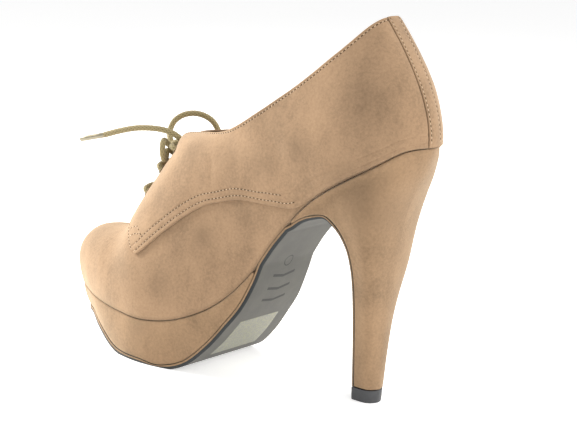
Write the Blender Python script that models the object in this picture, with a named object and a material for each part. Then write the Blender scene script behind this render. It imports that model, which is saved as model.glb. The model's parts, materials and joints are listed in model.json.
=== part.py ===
"""Lace up platform heel, a left shoe, as separate closed solids.

Metres, +Z up, +X toward the toe, +Y toward the shoe's outer side. The origin is on the floor
under the ball of the foot.
"""
import math

import bpy
import bmesh
import numpy as np
from mathutils import Vector

# Last: lengths of the foot form that the shoe is made on
SHOE_LENGTH = 0.229
BALL_SHARE = 0.6135
BALL_WIDTH = 0.0765
WAIST_WIDTH = 0.048
SEAT_WIDTH = 0.053
COLLAR_WIDTH = 0.047
PLATFORM_RISE = 0.0246
SEAT_RISE = 0.1385
TOE_BOX = 0.035
INSTEP = 0.062
COUNTER = 0.063

# Walls and gaps
WALL = 0.0016
QUARTER_THICK = 0.0012
BACKSTAY_THICK = 0.0015
BACKSTAY_WIDTH = 0.010
EDGE_RISES = (0.01, 0.995)
TONGUE_THICK = 0.0014
TONGUE_WIDTH = 0.034
TONGUE_END = 8.95
TONGUE_BOW = 0.35
INSOLE_THICK = 0.0030
SOLE_THICK = 0.0026
FLAP_THICK = 0.0012
GROUND_OFF = 0.0002
LIFT_RISE = 0.0070
CLEARANCE = 0.0003
OVERLAY_GAP = 0.0005
TONGUE_GAP = 0.0008
THROAT_GAP = 0.010
THROAT_START = 5.0
THROAT_ROUND = 0.6
COLLAR_DIP = 0.03
DIP_PLACE = 9.55

# Ribs of the last, from the toe tip to the back of the heel. Along is a share of the shoe's
# length, outer and inner of the named width, climb of the rise from platform to seat, top of the
# named height, lean of the length and spread of the collar's width. The low and high columns are
# the handles of the rib's curve: shares of its reach, and slants in degrees.
RIB_COLUMNS = ("along width outer inner climb height top lean spread fan "
               "low_up low_slant low_out high_up high_slant high_out")
RIBS = [
    (1.000, BALL_WIDTH, -0.065, 0.065, 0.043, TOE_BOX, 0.991, -0.085, 0, 0, 0.48, 0, 0.205, 0.03, 0, 0.59),
    (0.980, BALL_WIDTH, 0.150, 0.248, 0.039, TOE_BOX, 1.014, -0.074, 0, 32, 0.48, 0, 0.200, 0.03, 0, 0.59),
    (0.930, BALL_WIDTH, 0.268, 0.359, 0.028, TOE_BOX, 1.063, -0.039, 0, 58, 0.49, 0, 0.180, 0.03, 0, 0.63),
    (0.862, BALL_WIDTH, 0.376, 0.431, 0.014, TOE_BOX, 1.143, 0.004, 0, 76, 0.50, 0, 0.135, 0.02, 0, 0.66),
    (0.771, BALL_WIDTH, 0.464, 0.477, 0.002, TOE_BOX, 1.263, 0.068, 0, 86, 0.50, 8, 0.090, 0.00, 0, 0.56),
    (0.679, BALL_WIDTH, 0.507, 0.486, 0.000, INSTEP, 0.821, 0.135, 0, 90, 0.50, 18, 0.060, 0.00, 0, 0.52),
    (0.579, BALL_WIDTH, 0.486, 0.444, 0.041, INSTEP, 0.938, 0.207, 0, 90, 0.48, 26, 0.050, 0.00, 0, 0.41),
    (0.4825, WAIST_WIDTH, 0.677, 0.594, 0.142, INSTEP, 0.985, 0.264, 0, 90, 0.46, 36, 0.045, 0.00, 0, 0.345),
    (0.408, WAIST_WIDTH, 0.567, 0.490, 0.299, INSTEP, 0.908, 0.297, 0, 90, 0.46, 42, 0.040, 0.00, 0, 0.33),
    (0.343, WAIST_WIDTH, 0.521, 0.448, 0.500, INSTEP, 0.700, 0.325, 0, 90, 0.46, 48, 0.035, 0.00, 0, 0.305),
    (0.2555, WAIST_WIDTH, 0.531, 0.479, 0.700, COUNTER, 0.511, 0.240, 0.436, 90, 0.42, 50, 0.050, 0.30, 58, 0.08),
    (0.168, SEAT_WIDTH, 0.506, 0.491, 0.820, COUNTER, 0.659, 0.162, 0.500, 90, 0.40, 35, 0.070, 0.30, 48, 0.06),
    (0.0895, SEAT_WIDTH, 0.472, 0.472, 0.912, COUNTER, 0.857, 0.122, 0.436, 112, 0.38, 18, 0.060, 0.30, 40, 0.06),
    (0.0350, SEAT_WIDTH, 0.311, 0.311, 0.987, COUNTER, 0.962, 0.118, 0.245, 146, 0.36, 6, 0.030, 0.29, 37, 0.03),
    (0.007, SEAT_WIDTH, 0.000, 0.000, 1.000, COUNTER, 0.990, 0.133, 0, 180, 0.35, 0, 0.000, 0.284, 36, 0.00),
]

# Sole: how far its top lies behind and below the last's edge at each rib place. Back is a share
# of the length, drop of the platform's rise, and outer and inner scale the last's half widths.
SOLE_COLUMNS = "place back drop outer inner"
SOLE_ROWS = [
    (0.0, 0.022, 0.530, 1.00, 1.00),
    (1.0, 0.020, 0.500, 0.93, 0.93),
    (2.0, 0.015, 0.505, 0.90, 0.93),
    (3.0, 0.008, 0.640, 0.95, 0.96),
    (4.0, 0.000, 0.870, 1.00, 1.00),
    (5.0, 0.000, 0.902, 1.02, 1.01),
    (5.6, 0.003, 1.015, 1.00, 1.00),
    (6.0, 0.016, 0.950, 0.96, 0.98),
    (6.5, 0.023, 0.690, 0.96, 0.92),
    (7.0, 0.027, 0.370, 0.97, 0.87),
    (7.5, 0.021, 0.235, 0.97, 0.89),
    (8.0, 0.010, 0.085, 0.97, 0.92),
    (8.4, 0.000, 0.000, 0.98, 0.95),
    (9.3, 0.000, 0.000, 0.98, 0.97),
]
PLATFORM_END = 8.15
SOLE_WAIST_END = 9.3

# Heel: sections from its front edge, at the sole's breast, to its back. Along is a share of the
# shoe's length, climb the share of the way from the top lift to the seat, half of the waist width.
HEEL_COLUMNS = "front_along front_climb half back_along back_climb"
HEEL_ROWS = [
    (0.3035, 0.977, 0.500, 0.0095, 0.962),
    (0.2794, 0.955, 0.500, 0.0158, 0.928),
    (0.2467, 0.916, 0.504, 0.0262, 0.875),
    (0.2152, 0.882, 0.500, 0.0450, 0.806),
    (0.1938, 0.829, 0.479, 0.0600, 0.734),
    (0.1746, 0.757, 0.437, 0.0700, 0.662),
    (0.1589, 0.674, 0.396, 0.0765, 0.586),
    (0.1510, 0.588, 0.354, 0.0815, 0.502),
    (0.1507, 0.496, 0.292, 0.0880, 0.414),
    (0.1525, 0.368, 0.229, 0.0955, 0.304),
    (0.1535, 0.200, 0.177, 0.0991, 0.164),
    (0.1535, 0.000, 0.135, 0.1004, 0.000),
]
HEEL_START = 9.45

# Quarter: straps from its lower edge to its upper edge, from the tip by the vamp to the heel.
# Places are along the ribs, rises are shares of the way up to the open edge.
QUARTER_COLUMNS = "low_place low_rise high_place high_rise"
QUARTER_ROWS = [
    (5.38, 0.440, 5.36, 0.460),
    (5.50, 0.432, 5.26, 0.560),
    (5.68, 0.434, 5.24, 0.680),
    (5.95, 0.440, 5.36, 0.810),
    (6.30, 0.448, 5.62, 0.920),
    (6.75, 0.452, 6.05, 0.996),
    (7.42, 0.438, 6.90, 0.996),
    (8.18, 0.390, 7.90, 0.996),
    (8.75, 0.305, 8.80, 0.996),
    (9.10, 0.240, 9.40, 0.996),
    (9.45, 0.125, 9.90, 0.996),
    (9.85, 0.012, 10.5, 0.996),
    (10.8, 0.010, 11.2, 0.996),
    (12.0, 0.010, 12.2, 0.996),
    (13.1, 0.010, 13.2, 0.996),
    (14.0, 0.010, 14.0, 0.996),
]

# Lacing
EYELET_PLACES = (6.1, 7.1, 8.1)
EYELET_SET = 0.0045
EYELET_BORE = 0.0034
EYELET_WALL = 0.0004
EYELET_FLANGE = 0.0060
EYELET_RIM = 0.0005
LACE_WIDTH = 0.0028
BAR_BOW = 0.0008
KNOT_CENTRE = (0.0273, 0.0008, 0.1144)
KNOT_SIZE = (0.0115, 0.0105, 0.0095)
AGLET_WIDTH = 0.0030

# Routes of the lace beyond the knot, chosen by hand
INNER_LOOP = [
    (0.0332, -0.0005, 0.1160), (0.0370, -0.0018, 0.1190), (0.0402, -0.0050, 0.1243), (0.0393, -0.0085, 0.1286),
    (0.0360, -0.0120, 0.1320), (0.0320, -0.0150, 0.1330), (0.0260, -0.0180, 0.1320), (0.0210, -0.0200, 0.1290),
    (0.0165, -0.0215, 0.1240), (0.0152, -0.0215, 0.1200), (0.0170, -0.0190, 0.1175), (0.0213, -0.0137, 0.1179),
    (0.0246, -0.0085, 0.1173), (0.0264, -0.0047, 0.1161),
]
OUTER_LOOP = [
    (0.0313, 0.0041, 0.1173), (0.0340, 0.0064, 0.1193), (0.0358, 0.0095, 0.1198), (0.0358, 0.0130, 0.1183),
    (0.0343, 0.0158, 0.1150), (0.0320, 0.0168, 0.1115), (0.0302, 0.0150, 0.1083), (0.0292, 0.0116, 0.1073),
    (0.0288, 0.0083, 0.1088), (0.0283, 0.0055, 0.1113),
]
LACE_END = [
    (0.0215, 0.0036, 0.1172), (0.0243, 0.0055, 0.1192), (0.0290, 0.0070, 0.1216), (0.0340, 0.0086, 0.1239),
    (0.0400, 0.0100, 0.1254), (0.0480, 0.0120, 0.1250), (0.0590, 0.0140, 0.1220), (0.0690, 0.0160, 0.1190),
]
AGLET = [(0.0693, 0.0161, 0.1189), (0.0830, 0.0188, 0.1138)]

SUEDE = (0.42, 0.27, 0.17)
HEEL_SUEDE = (0.34, 0.22, 0.14)
SOLE_GREY = (0.21, 0.20, 0.16)
LIFT_BLACK = (0.07, 0.07, 0.07)
LINING = (0.45, 0.34, 0.24)
LACE_OLIVE = (0.17, 0.14, 0.09)
BRASS = (0.45, 0.38, 0.27)

RIB_COUNT = len(RIBS)
BACK = RIB_COUNT - 1
LOOP = 2 * BACK


def named(columns, rows):
    """Rows of a table as dictionaries by column."""
    return [dict(zip(columns.split(), row)) for row in rows]


def slanted(degrees):
    """Unit vector that leans forward from straight up by this slant."""
    angle = math.radians(degrees)
    return np.array([math.sin(angle), 0.0, math.cos(angle)])


def rib_points(rib, side):
    """Four control points of one rib, from the last's lower edge to its top line."""
    half = rib["outer"] if side > 0 else rib["inner"]
    foot = np.array([
        (rib["along"] - BALL_SHARE) * SHOE_LENGTH,
        side * half * rib["width"],
        PLATFORM_RISE + rib["climb"] * (SEAT_RISE - PLATFORM_RISE),
    ])
    top = foot + np.array([rib["lean"] * SHOE_LENGTH, 0, rib["top"] * rib["height"]])
    top[1] = side * rib["spread"] * COLLAR_WIDTH
    reach = math.hypot(top[0] - foot[0], top[2] - foot[2])
    fan = math.radians(rib["fan"])
    outward = np.array([math.cos(fan), side * math.sin(fan), 0.0])
    low = foot + reach * (rib["low_up"] * slanted(rib["low_slant"]) + rib["low_out"] * outward)
    high = top + reach * (rib["high_out"] * outward - rib["high_up"] * slanted(rib["high_slant"]))
    return [foot, low, high, top]


def last_cage():
    """Control points of all ribs, round the outer side from the toe and back by the inner side."""
    ribs = named(RIB_COLUMNS, RIBS)
    outer = [rib_points(rib, 1) for rib in ribs]
    inner = [rib_points(rib, -1) for rib in ribs[BACK - 1:0:-1]]
    return np.array(outer + inner)


CAGE = last_cage()


def rib_at(turn):
    """Control points at any place round the last, on a smooth curve through the ribs."""
    index = math.floor(turn)
    share = turn - index
    before, start, end, after = (CAGE[(index + step) % LOOP] for step in (-1, 0, 1, 2))
    return 0.5 * (
        2 * start
        + (end - before) * share
        + (2 * before - 5 * start + 4 * end - after) * share ** 2
        + (3 * start - before - 3 * end + after) * share ** 3
    )


def skin(turn, rise):
    """Point of the last's surface."""
    weights = np.array([(1 - rise) ** 3, 3 * rise * (1 - rise) ** 2, 3 * rise ** 2 * (1 - rise), rise ** 3])
    return np.tensordot(weights, rib_at(turn), axes=1)


def skin_normal(turn, rise):
    """Unit vector out of the last's surface."""
    step = 0.02
    round_way = skin(turn + step, rise) - skin(turn - step, rise)
    upward = skin(turn, min(rise + step, 1)) - skin(turn, max(rise - step, 0))
    normal = np.cross(round_way, upward)
    return normal / np.linalg.norm(normal)


def lifted(turn, rise, height):
    """Point at a height over the last's surface, or under it where the height is negative."""
    return skin(turn, rise) + height * skin_normal(turn, rise)


def turn_of(place, side):
    """Turn round the last of a rib place on the outer (1) or inner (-1) side."""
    return place if side > 0 else LOOP - place


def rise_at_width(place, side, width):
    """Rise where the last's upper half is this far from the middle line."""
    turn = turn_of(place, side)
    low, high = 0.5, 1.0
    for _ in range(30):
        middle = (low + high) / 2
        if side * skin(turn, middle)[1] > width:
            low = middle
        else:
            high = middle
    return high


def throat_half(place):
    """Half the gap between the facings, with a round end at the throat's start."""
    share = min(max((place - THROAT_START) / THROAT_ROUND, 0), 1)
    return THROAT_GAP / 2 * math.sqrt(share * (2 - share))


def open_rise(place, side):
    """Rise of the upper's open edge: the throat, then the top line."""
    away = min(abs(place - DIP_PLACE), 1)
    dip = COLLAR_DIP * math.cos(away * math.pi / 2)
    half = throat_half(place)
    if half == 0 or side * skin(turn_of(place, side), 1)[1] >= half:
        return 1.0 - dip
    return min(rise_at_width(place, side, half), 1 - dip)


def place_at_width(rise, width):
    """Place near the back where the last is this far from the middle line."""
    low, high = BACK - 1.0, float(BACK)
    for _ in range(30):
        middle = (low + high) / 2
        if skin(middle, rise)[1] > width:
            low = middle
        else:
            high = middle
    return low


def eased(knots, rows, place):
    """Smooth curve through rows of numbers that stand at rising knots."""
    rows = np.asarray(rows, float)
    knots = np.asarray(knots, float)
    slopes = np.gradient(rows, knots, axis=0)
    index = int(np.clip(np.searchsorted(knots, place, side="right") - 1, 0, len(knots) - 2))
    width = knots[index + 1] - knots[index]
    share = (place - knots[index]) / width
    square, cube = share ** 2, share ** 3
    return (
        (2 * cube - 3 * square + 1) * rows[index]
        + (cube - 2 * square + share) * width * slopes[index]
        + (3 * square - 2 * cube) * rows[index + 1]
        + (cube - square) * width * slopes[index + 1]
    )


def places(stops):
    """Places from (end, steps) pairs, each run in even steps from the end before."""
    found = [stops[0]]
    for end, steps in stops[1:]:
        found += list(np.linspace(found[-1], end, steps + 1)[1:])
    return found


def foot(place, side):
    """Point of the last's lower edge."""
    return rib_at(turn_of(place, side))[0]


def side_normals(chain):
    """Unit vectors in side view out of a chain that runs from toe to heel, toward the floor."""
    ways = np.gradient(np.asarray(chain)[:, [0, 2]], axis=0)
    ways /= np.linalg.norm(ways, axis=1)[:, None]
    return np.stack([-ways[:, 1], np.zeros(len(ways)), ways[:, 0]], axis=1)


def material(name, colour, rough, metallic=0.0):
    """Principled material."""
    finish = bpy.data.materials.new(name)
    finish.use_nodes = True
    shader = finish.node_tree.nodes["Principled BSDF"]
    shader.inputs["Base Color"].default_value = (*colour, 1)
    shader.inputs["Roughness"].default_value = rough
    shader.inputs["Metallic"].default_value = metallic
    finish.diffuse_color = (*colour, 1)
    return finish


def piece(name, points, faces, finish, closed=True):
    """Mesh object from points and faces, with doubled points merged."""
    mesh = bpy.data.meshes.new(name)
    shape = bmesh.new()
    corners = [shape.verts.new(point) for point in points]
    for face in faces:
        shape.faces.new([corners[index] for index in face])
    bmesh.ops.remove_doubles(shape, verts=shape.verts, dist=0.00001)
    if closed:
        bmesh.ops.recalc_face_normals(shape, faces=shape.faces)
    shape.to_mesh(mesh)
    shape.free()
    mesh.shade_smooth()
    mesh.set_sharp_from_angle(angle=math.radians(40))
    mesh.materials.append(finish)
    made = bpy.data.objects.new(name, mesh)
    bpy.context.collection.objects.link(made)
    return made


def grid_faces(columns, rows, wrap=False):
    """Quads of a grid of columns, each of so many rows."""
    last = columns if wrap else columns - 1
    faces = []
    for column in range(last):
        here, there = column * rows, (column + 1) % columns * rows
        for row in range(rows - 1):
            faces.append((here + row, there + row, there + row + 1, here + row + 1))
    return faces


def sheet(name, columns, finish, thick, wrap=False):
    """Wall of even thickness whose outer face is a grid of points."""
    points = [point for column in columns for point in column]
    made = piece(name, points, grid_faces(len(columns), len(columns[0]), wrap), finish, closed=False)
    wall = made.modifiers.new("Wall", "SOLIDIFY")
    wall.thickness = thick
    wall.offset = -1
    wall.use_even_offset = True
    wall.use_rim = True
    return made


def loft(name, rings, finish):
    """Closed body through rings of points, its ends ruled straight across."""
    count = len(rings[0])
    points = [point for ring in rings for point in ring]
    faces = []
    for level in range(len(rings) - 1):
        here, there = level * count, (level + 1) * count
        for index in range(count):
            after = (index + 1) % count
            faces.append((here + index, here + after, there + after, there + index))
    for start in (0, (len(rings) - 1) * count):
        for index in range((count - 1) // 2):
            strip = (index, index + 1, count - 2 - index, count - 1 - index)
            faces.append([start + corner for corner in dict.fromkeys(strip)])
    return piece(name, points, faces, finish)


def make_upper(finish):
    """Hollow upper: vamp and lined sides, open at the collar, the throat and underneath."""
    side_places = places([0.0, (3.0, 9), (5.0, 5), (9.0, 12), (10.0, 5), (12.0, 5), (14.0, 9)])
    rows = 8
    columns = []
    for side, run in ((1, side_places), (-1, side_places[-2:0:-1])):
        for place in run:
            top = open_rise(place, side)
            turn = turn_of(place, side)
            columns.append([skin(turn, top * row / rows) for row in range(rows + 1)])
    return sheet("upper", columns, finish, WALL, wrap=True)


def make_quarter(name, side, finish):
    """Quarter panel laid over the upper, from its tip on the vamp to the backstay."""
    outside = OVERLAY_GAP + QUARTER_THICK
    rows = 7
    table = named(QUARTER_COLUMNS, QUARTER_ROWS)
    straps = [[strap[column] for column in QUARTER_COLUMNS.split()] for strap in table]
    knots = range(len(straps))
    columns = []
    for knot in places([0.0, (7.0, 14), (len(straps) - 1, 32)]):
        low_place, low_rise, high_place, high_rise = eased(knots, straps, knot)
        column = []
        for row in range(rows + 1):
            share = row / rows
            rise = low_rise + share * (high_rise - low_rise)
            stay_edge = place_at_width(rise, BACKSTAY_WIDTH / 2 + 2 * CLEARANCE)
            place = min(low_place + share * (high_place - low_place), stay_edge)
            column.append(lifted(turn_of(place, side), rise * open_rise(place, side), outside))
        columns.append(column)
    if side < 0:
        columns.reverse()
    return sheet(name, columns, finish, QUARTER_THICK)


def make_backstay(finish):
    """Narrow strip down the back seam."""
    outside = OVERLAY_GAP + BACKSTAY_THICK
    rows = 12
    columns = [[] for _ in range(5)]
    for row in range(rows + 1):
        rise = EDGE_RISES[0] + (EDGE_RISES[1] - EDGE_RISES[0]) * row / rows
        edge = place_at_width(rise, BACKSTAY_WIDTH / 2)
        for index, place in enumerate(np.linspace(edge, LOOP - edge, 5)):
            columns[index].append(lifted(place, rise, outside))
    return sheet("backstay", columns, finish, BACKSTAY_THICK)


def make_tongue(finish):
    """Tongue under the throat, with a rounded top."""
    depth = -(WALL + TONGUE_GAP)
    columns = []
    for share in np.linspace(-1, 1, 9):
        side = 1 if share >= 0 else -1
        column = []
        for place in np.linspace(THROAT_START - TONGUE_BOW, TONGUE_END, 14):
            along = (place - THROAT_START) / (TONGUE_END - THROAT_START)
            bowed = place - TONGUE_BOW * share ** 2 * along
            rise = rise_at_width(bowed, side, abs(share) * TONGUE_WIDTH / 2)
            point = lifted(turn_of(bowed, side), rise, depth)
            if share == 0:
                point[1] = 0
            column.append(point)
        columns.append(column)
    return sheet("tongue", columns, finish, TONGUE_THICK)


def sole_line(place, side):
    """Point where the sole meets what stands on it, ahead of the heel."""
    table = named(SOLE_COLUMNS, SOLE_ROWS)
    knots = [row["place"] for row in table]
    values = [[row["back"], row["drop"], row["outer"], row["inner"]] for row in table]
    back, drop, outer, inner = eased(knots, values, place)
    point = foot(place, side).copy()
    point[0] -= max(back, 0) * SHOE_LENGTH
    point[1] *= outer if side > 0 else inner
    point[2] -= max(drop, 0) * PLATFORM_RISE
    return point


def heel_section(level):
    """Front middle, half width and back middle of the heel at a level of its table."""
    table = named(HEEL_COLUMNS, HEEL_ROWS)
    values = [[row[column] for column in HEEL_COLUMNS.split()] for row in table]
    front_along, front_climb, half, back_along, back_climb = eased(range(len(values)), values, level)
    front = np.array([
        (front_along - BALL_SHARE) * SHOE_LENGTH, 0, 0,
    ])
    front[2] = LIFT_RISE + front_climb * (bed_height(front[0]) - LIFT_RISE)
    back = np.array([
        (back_along - BALL_SHARE) * SHOE_LENGTH, 0,
        LIFT_RISE + back_climb * (SEAT_RISE - LIFT_RISE),
    ])
    return front, half * WAIST_WIDTH, back


def bed_height(along):
    """Height of the last's lower edge at a distance along the shoe."""
    line = np.array([foot(place, 1) for place in np.linspace(BACK, 0, 160)])
    return np.interp(along, line[:, 0], line[:, 2])


def heel_levels(steps):
    """Levels of the heel's table from top to bottom."""
    return np.linspace(0, len(HEEL_ROWS) - 1, steps)


def make_outsole(finish):
    """Outsole with the flap that covers the heel's breast, ground flat where it touches the floor."""
    chain = []
    for place in places([0.0, (1.0, 4), (3.0, 5), (8.0, 20), (SOLE_WAIST_END, 4)]):
        outer, inner = sole_line(place, 1), sole_line(place, -1)
        chain.append((outer[0], outer[1], outer[2], inner[1], SOLE_THICK))
    for level in heel_levels(26):
        front, half, _ = heel_section(level)
        thick = SOLE_THICK + (FLAP_THICK - SOLE_THICK) * min(level / 5, 1)
        chain.append((front[0], half, front[2], -half, thick))
    chain = np.array(chain)
    normals = side_normals(chain[:, :3])
    normals[-1] = (1, 0, 0)
    rings = []
    for (x, outer, z, inner, thick), normal in zip(chain, normals):
        upper_side = np.array([x, 0, z]) + CLEARANCE * normal
        lower_side = upper_side + thick * normal
        if lower_side[2] < GROUND_OFF:
            lower_side[2] = 0
        rings.append([
            upper_side + (0, outer, 0), upper_side + (0, inner, 0),
            lower_side + (0, inner, 0), lower_side + (0, outer, 0),
        ])
    for point in rings[-1]:
        point[2] = LIFT_RISE + CLEARANCE
    return loft("outsole", rings, finish)


def make_platform(finish):
    """Covered platform between the last's lower edge and the outsole."""
    run = places([0.0, (1.0, 4), (3.0, 5), (8.0, 20), (PLATFORM_END, 1)])
    bed = [foot(place, 1) for place in run]
    rings = []
    for place, normal in zip(run, side_normals(bed)):
        drop = CLEARANCE * normal
        rings.append([
            foot(place, 1) + drop, foot(place, -1) + drop,
            sole_line(place, -1), sole_line(place, 1),
        ])
    return loft("platform", rings, finish)


def make_insole(finish):
    """Insole that lines the bottom inside, clear of the upper's wall."""
    run = places([0.15, (1.0, 3), (3.0, 5), (13.0, 24), (13.8, 4)])
    inset = WALL + CLEARANCE
    bed = [foot(place, 1) for place in run]
    rings = []
    for place, normal in zip(run, side_normals(bed)):
        ring = []
        for side in (1, -1):
            way = foot(min(place + 0.05, BACK), side) - foot(max(place - 0.05, 0), side)
            outward = side * np.array([way[1], -way[0]]) / math.hypot(way[0], way[1])
            point = foot(place, side).copy()
            point[:2] -= inset * outward
            point[2] = bed_height(point[0])
            ring.append(point)
        ring += [ring[1] - INSOLE_THICK * normal, ring[0] - INSOLE_THICK * normal]
        rings.append(ring)
    return loft("insole", rings, finish)


def heel_outline():
    """Outline of the seat from its front outer corner, round the back, to its front inner one."""
    run = places([HEEL_START, (13.0, 9), (14.0, 5)])
    outer = [foot(place, 1) for place in run]
    inner = [foot(place, -1) for place in run[-2::-1]]
    return np.array(outer + inner)


def make_heel(finish):
    """Covered heel block, from the seat to the top lift."""
    rim = heel_outline()
    bed = [foot(place, 1) for place in places([HEEL_START, (13.0, 9), (14.0, 5)])]
    normals = side_normals(bed)
    normals = np.concatenate([normals, normals[-2::-1]])
    shares = heel_shares(rim)
    middle_front = rim[0, [0, 2]]
    middle_back = rim[len(rim) // 2, [0, 2]]
    chord = middle_front[1] + shares[:, 0] * (middle_back[1] - middle_front[1])
    bow = rim[:, 2] - chord
    rings = [rim + CLEARANCE * normals]
    for level in heel_levels(18):
        front, half, back = heel_section(level)
        fade = max(1 - (level + 1) / 5, 0)
        ring = []
        for (along, across), rise in zip(shares, bow):
            point = front + along * (back - front)
            point[1] = across * half
            point[2] = point[2] + fade * rise
            ring.append(point)
        rings.append(np.array(ring))
    rings[-1][:, 2] += CLEARANCE
    return loft("heel", rings, finish)


def heel_shares(rim):
    """Seat outline as shares of its length and of its front half width."""
    length = rim[0, 0] - rim[:, 0].min()
    along = (rim[0, 0] - rim[:, 0]) / length
    across = np.where(rim[:, 1] > 0, rim[:, 1] / rim[0, 1], -rim[:, 1] / rim[-1, 1])
    return np.stack([along, across], axis=1)


def make_lift(finish):
    """Top lift under the heel and its flap."""
    shares = heel_shares(heel_outline())
    front, half, back = heel_section(len(HEEL_ROWS) - 1)
    front = front + (CLEARANCE + FLAP_THICK, 0, 0)
    rings = []
    for height, taper in ((LIFT_RISE, 1.0), (0.0, 0.96)):
        ring = []
        for along, across in shares:
            point = front + along * (back - front)
            point[1] = across * half
            middle = (front + back) / 2
            point = middle + taper * (point - middle)
            point[2] = height
            ring.append(point)
        rings.append(ring)
    return loft("top_lift", rings, finish)


def eyelet_spot(place, side):
    """Centre of an eyelet on the quarter's face, and the way out of it."""
    rise = rise_at_width(place, side, THROAT_GAP / 2 + EYELET_SET)
    turn = turn_of(place, side)
    return lifted(turn, rise, OVERLAY_GAP + QUARTER_THICK), skin_normal(turn, rise)


def turned_ring(name, profile, centre, way, finish):
    """Ring turned from a closed profile of (radius, height) points about a way out of a centre."""
    sides = 14
    across = Vector(way).orthogonal().normalized()
    beside = Vector(way).cross(across)
    points = []
    for step in range(sides):
        angle = 2 * math.pi * step / sides
        spoke = np.array(across * math.cos(angle) + beside * math.sin(angle))
        points += [centre + radius * spoke + height * way for radius, height in profile]
    count = len(profile)
    faces = []
    for step in range(sides):
        here, there = step * count, (step + 1) % sides * count
        for index in range(count):
            after = (index + 1) % count
            faces.append((here + index, here + after, there + after, there + index))
    return piece(name, points, faces, finish)


def make_eyelets(finish):
    """Eyelets set through the quarters and the lined upper."""
    bore = EYELET_BORE / 2
    barrel = bore + EYELET_WALL
    depth = QUARTER_THICK + OVERLAY_GAP + WALL
    profile = [
        (bore, CLEARANCE + EYELET_RIM),
        (EYELET_FLANGE / 2, CLEARANCE + EYELET_RIM),
        (EYELET_FLANGE / 2, CLEARANCE),
        (barrel, CLEARANCE),
        (barrel, -depth),
        (bore, -depth),
    ]
    for label, side in (("outer", 1), ("inner", -1)):
        for number, place in enumerate(EYELET_PLACES, 1):
            centre, way = eyelet_spot(place, side)
            turned_ring(f"eyelet_{label}_{number}", profile, centre, way, finish)


def punch_holes(label, side, targets):
    """Holes for one row of eyelets, cut through the named pieces."""
    radius = EYELET_BORE / 2 + EYELET_WALL + CLEARANCE
    depth = 2 * (QUARTER_THICK + OVERLAY_GAP + WALL)
    shape = bmesh.new()
    for place in EYELET_PLACES:
        centre, way = eyelet_spot(place, side)
        made = bmesh.ops.create_cone(
            shape, cap_ends=True, segments=14, radius1=radius, radius2=radius, depth=depth
        )
        turn = Vector(way).to_track_quat("Z", "Y").to_matrix()
        bmesh.ops.rotate(shape, verts=made["verts"], matrix=turn)
        middle = Vector(centre - way * (QUARTER_THICK + OVERLAY_GAP + WALL) / 2)
        bmesh.ops.translate(shape, verts=made["verts"], vec=middle)
    mesh = bpy.data.meshes.new(f"holes_{label}")
    shape.to_mesh(mesh)
    shape.free()
    cutter = bpy.data.objects.new(f"holes_{label}", mesh)
    bpy.context.collection.objects.link(cutter)
    cutter.hide_render = True
    cutter.display_type = "WIRE"
    for target in targets:
        cut = target.modifiers.new("Holes", "BOOLEAN")
        cut.operation = "DIFFERENCE"
        cut.object = cutter


def smooth_route(points, spacing):
    """Points along a smooth curve through a route, about evenly spaced."""
    route = np.array(points)
    steps = np.linalg.norm(np.diff(route, axis=0), axis=1)
    knots = np.concatenate([[0], np.cumsum(steps)])
    count = max(round(knots[-1] / spacing), 1)
    return [eased(knots, route, place) for place in np.linspace(0, knots[-1], count + 1)]


def cord(name, points, width, finish):
    """Round tube along points, with closed ends."""
    curve = bpy.data.curves.new(name, "CURVE")
    curve.dimensions = "3D"
    spline = curve.splines.new("POLY")
    spline.points.add(len(points) - 1)
    for corner, point in zip(spline.points, points):
        corner.co = (*point, 1)
    curve.bevel_depth = width / 2
    curve.bevel_resolution = 2
    curve.use_fill_caps = True
    curve.materials.append(finish)
    made = bpy.data.objects.new(name, curve)
    bpy.context.collection.objects.link(made)
    return made


def make_lacing(lace_finish, aglet_finish):
    """Bars of the lace across the throat, its knot, two loops and one free end."""
    height = OVERLAY_GAP + QUARTER_THICK + 2 * CLEARANCE + EYELET_RIM + LACE_WIDTH / 2
    reach = THROAT_GAP / 2 + EYELET_SET
    for number, place in enumerate(EYELET_PLACES[:2], 1):
        bar = []
        for share in np.linspace(-1.1, 1.1, 9):
            side = 1 if share >= 0 else -1
            rise = rise_at_width(place, side, abs(share) * reach)
            bar.append(lifted(turn_of(place, side), rise, height + BAR_BOW * (1 - share ** 2)))
        bar[4][1] = 0
        cord(f"lace_bar_{number}", bar, LACE_WIDTH, lace_finish)
    spacing = 2 * LACE_WIDTH
    cord("lace_loop_inner", smooth_route(INNER_LOOP, spacing), LACE_WIDTH, lace_finish)
    cord("lace_loop_outer", smooth_route(OUTER_LOOP, spacing), LACE_WIDTH, lace_finish)
    cord("lace_end", smooth_route(LACE_END, spacing), LACE_WIDTH, lace_finish)
    cord("lace_aglet", AGLET, AGLET_WIDTH, aglet_finish)
    shape = bmesh.new()
    bmesh.ops.create_uvsphere(shape, u_segments=14, v_segments=9, radius=0.5)
    bmesh.ops.scale(shape, verts=shape.verts, vec=KNOT_SIZE)
    bmesh.ops.translate(shape, verts=shape.verts, vec=KNOT_CENTRE)
    mesh = bpy.data.meshes.new("lace_knot")
    shape.to_mesh(mesh)
    shape.free()
    mesh.shade_smooth()
    mesh.materials.append(lace_finish)
    knot = bpy.data.objects.new("lace_knot", mesh)
    bpy.context.collection.objects.link(knot)


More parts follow.
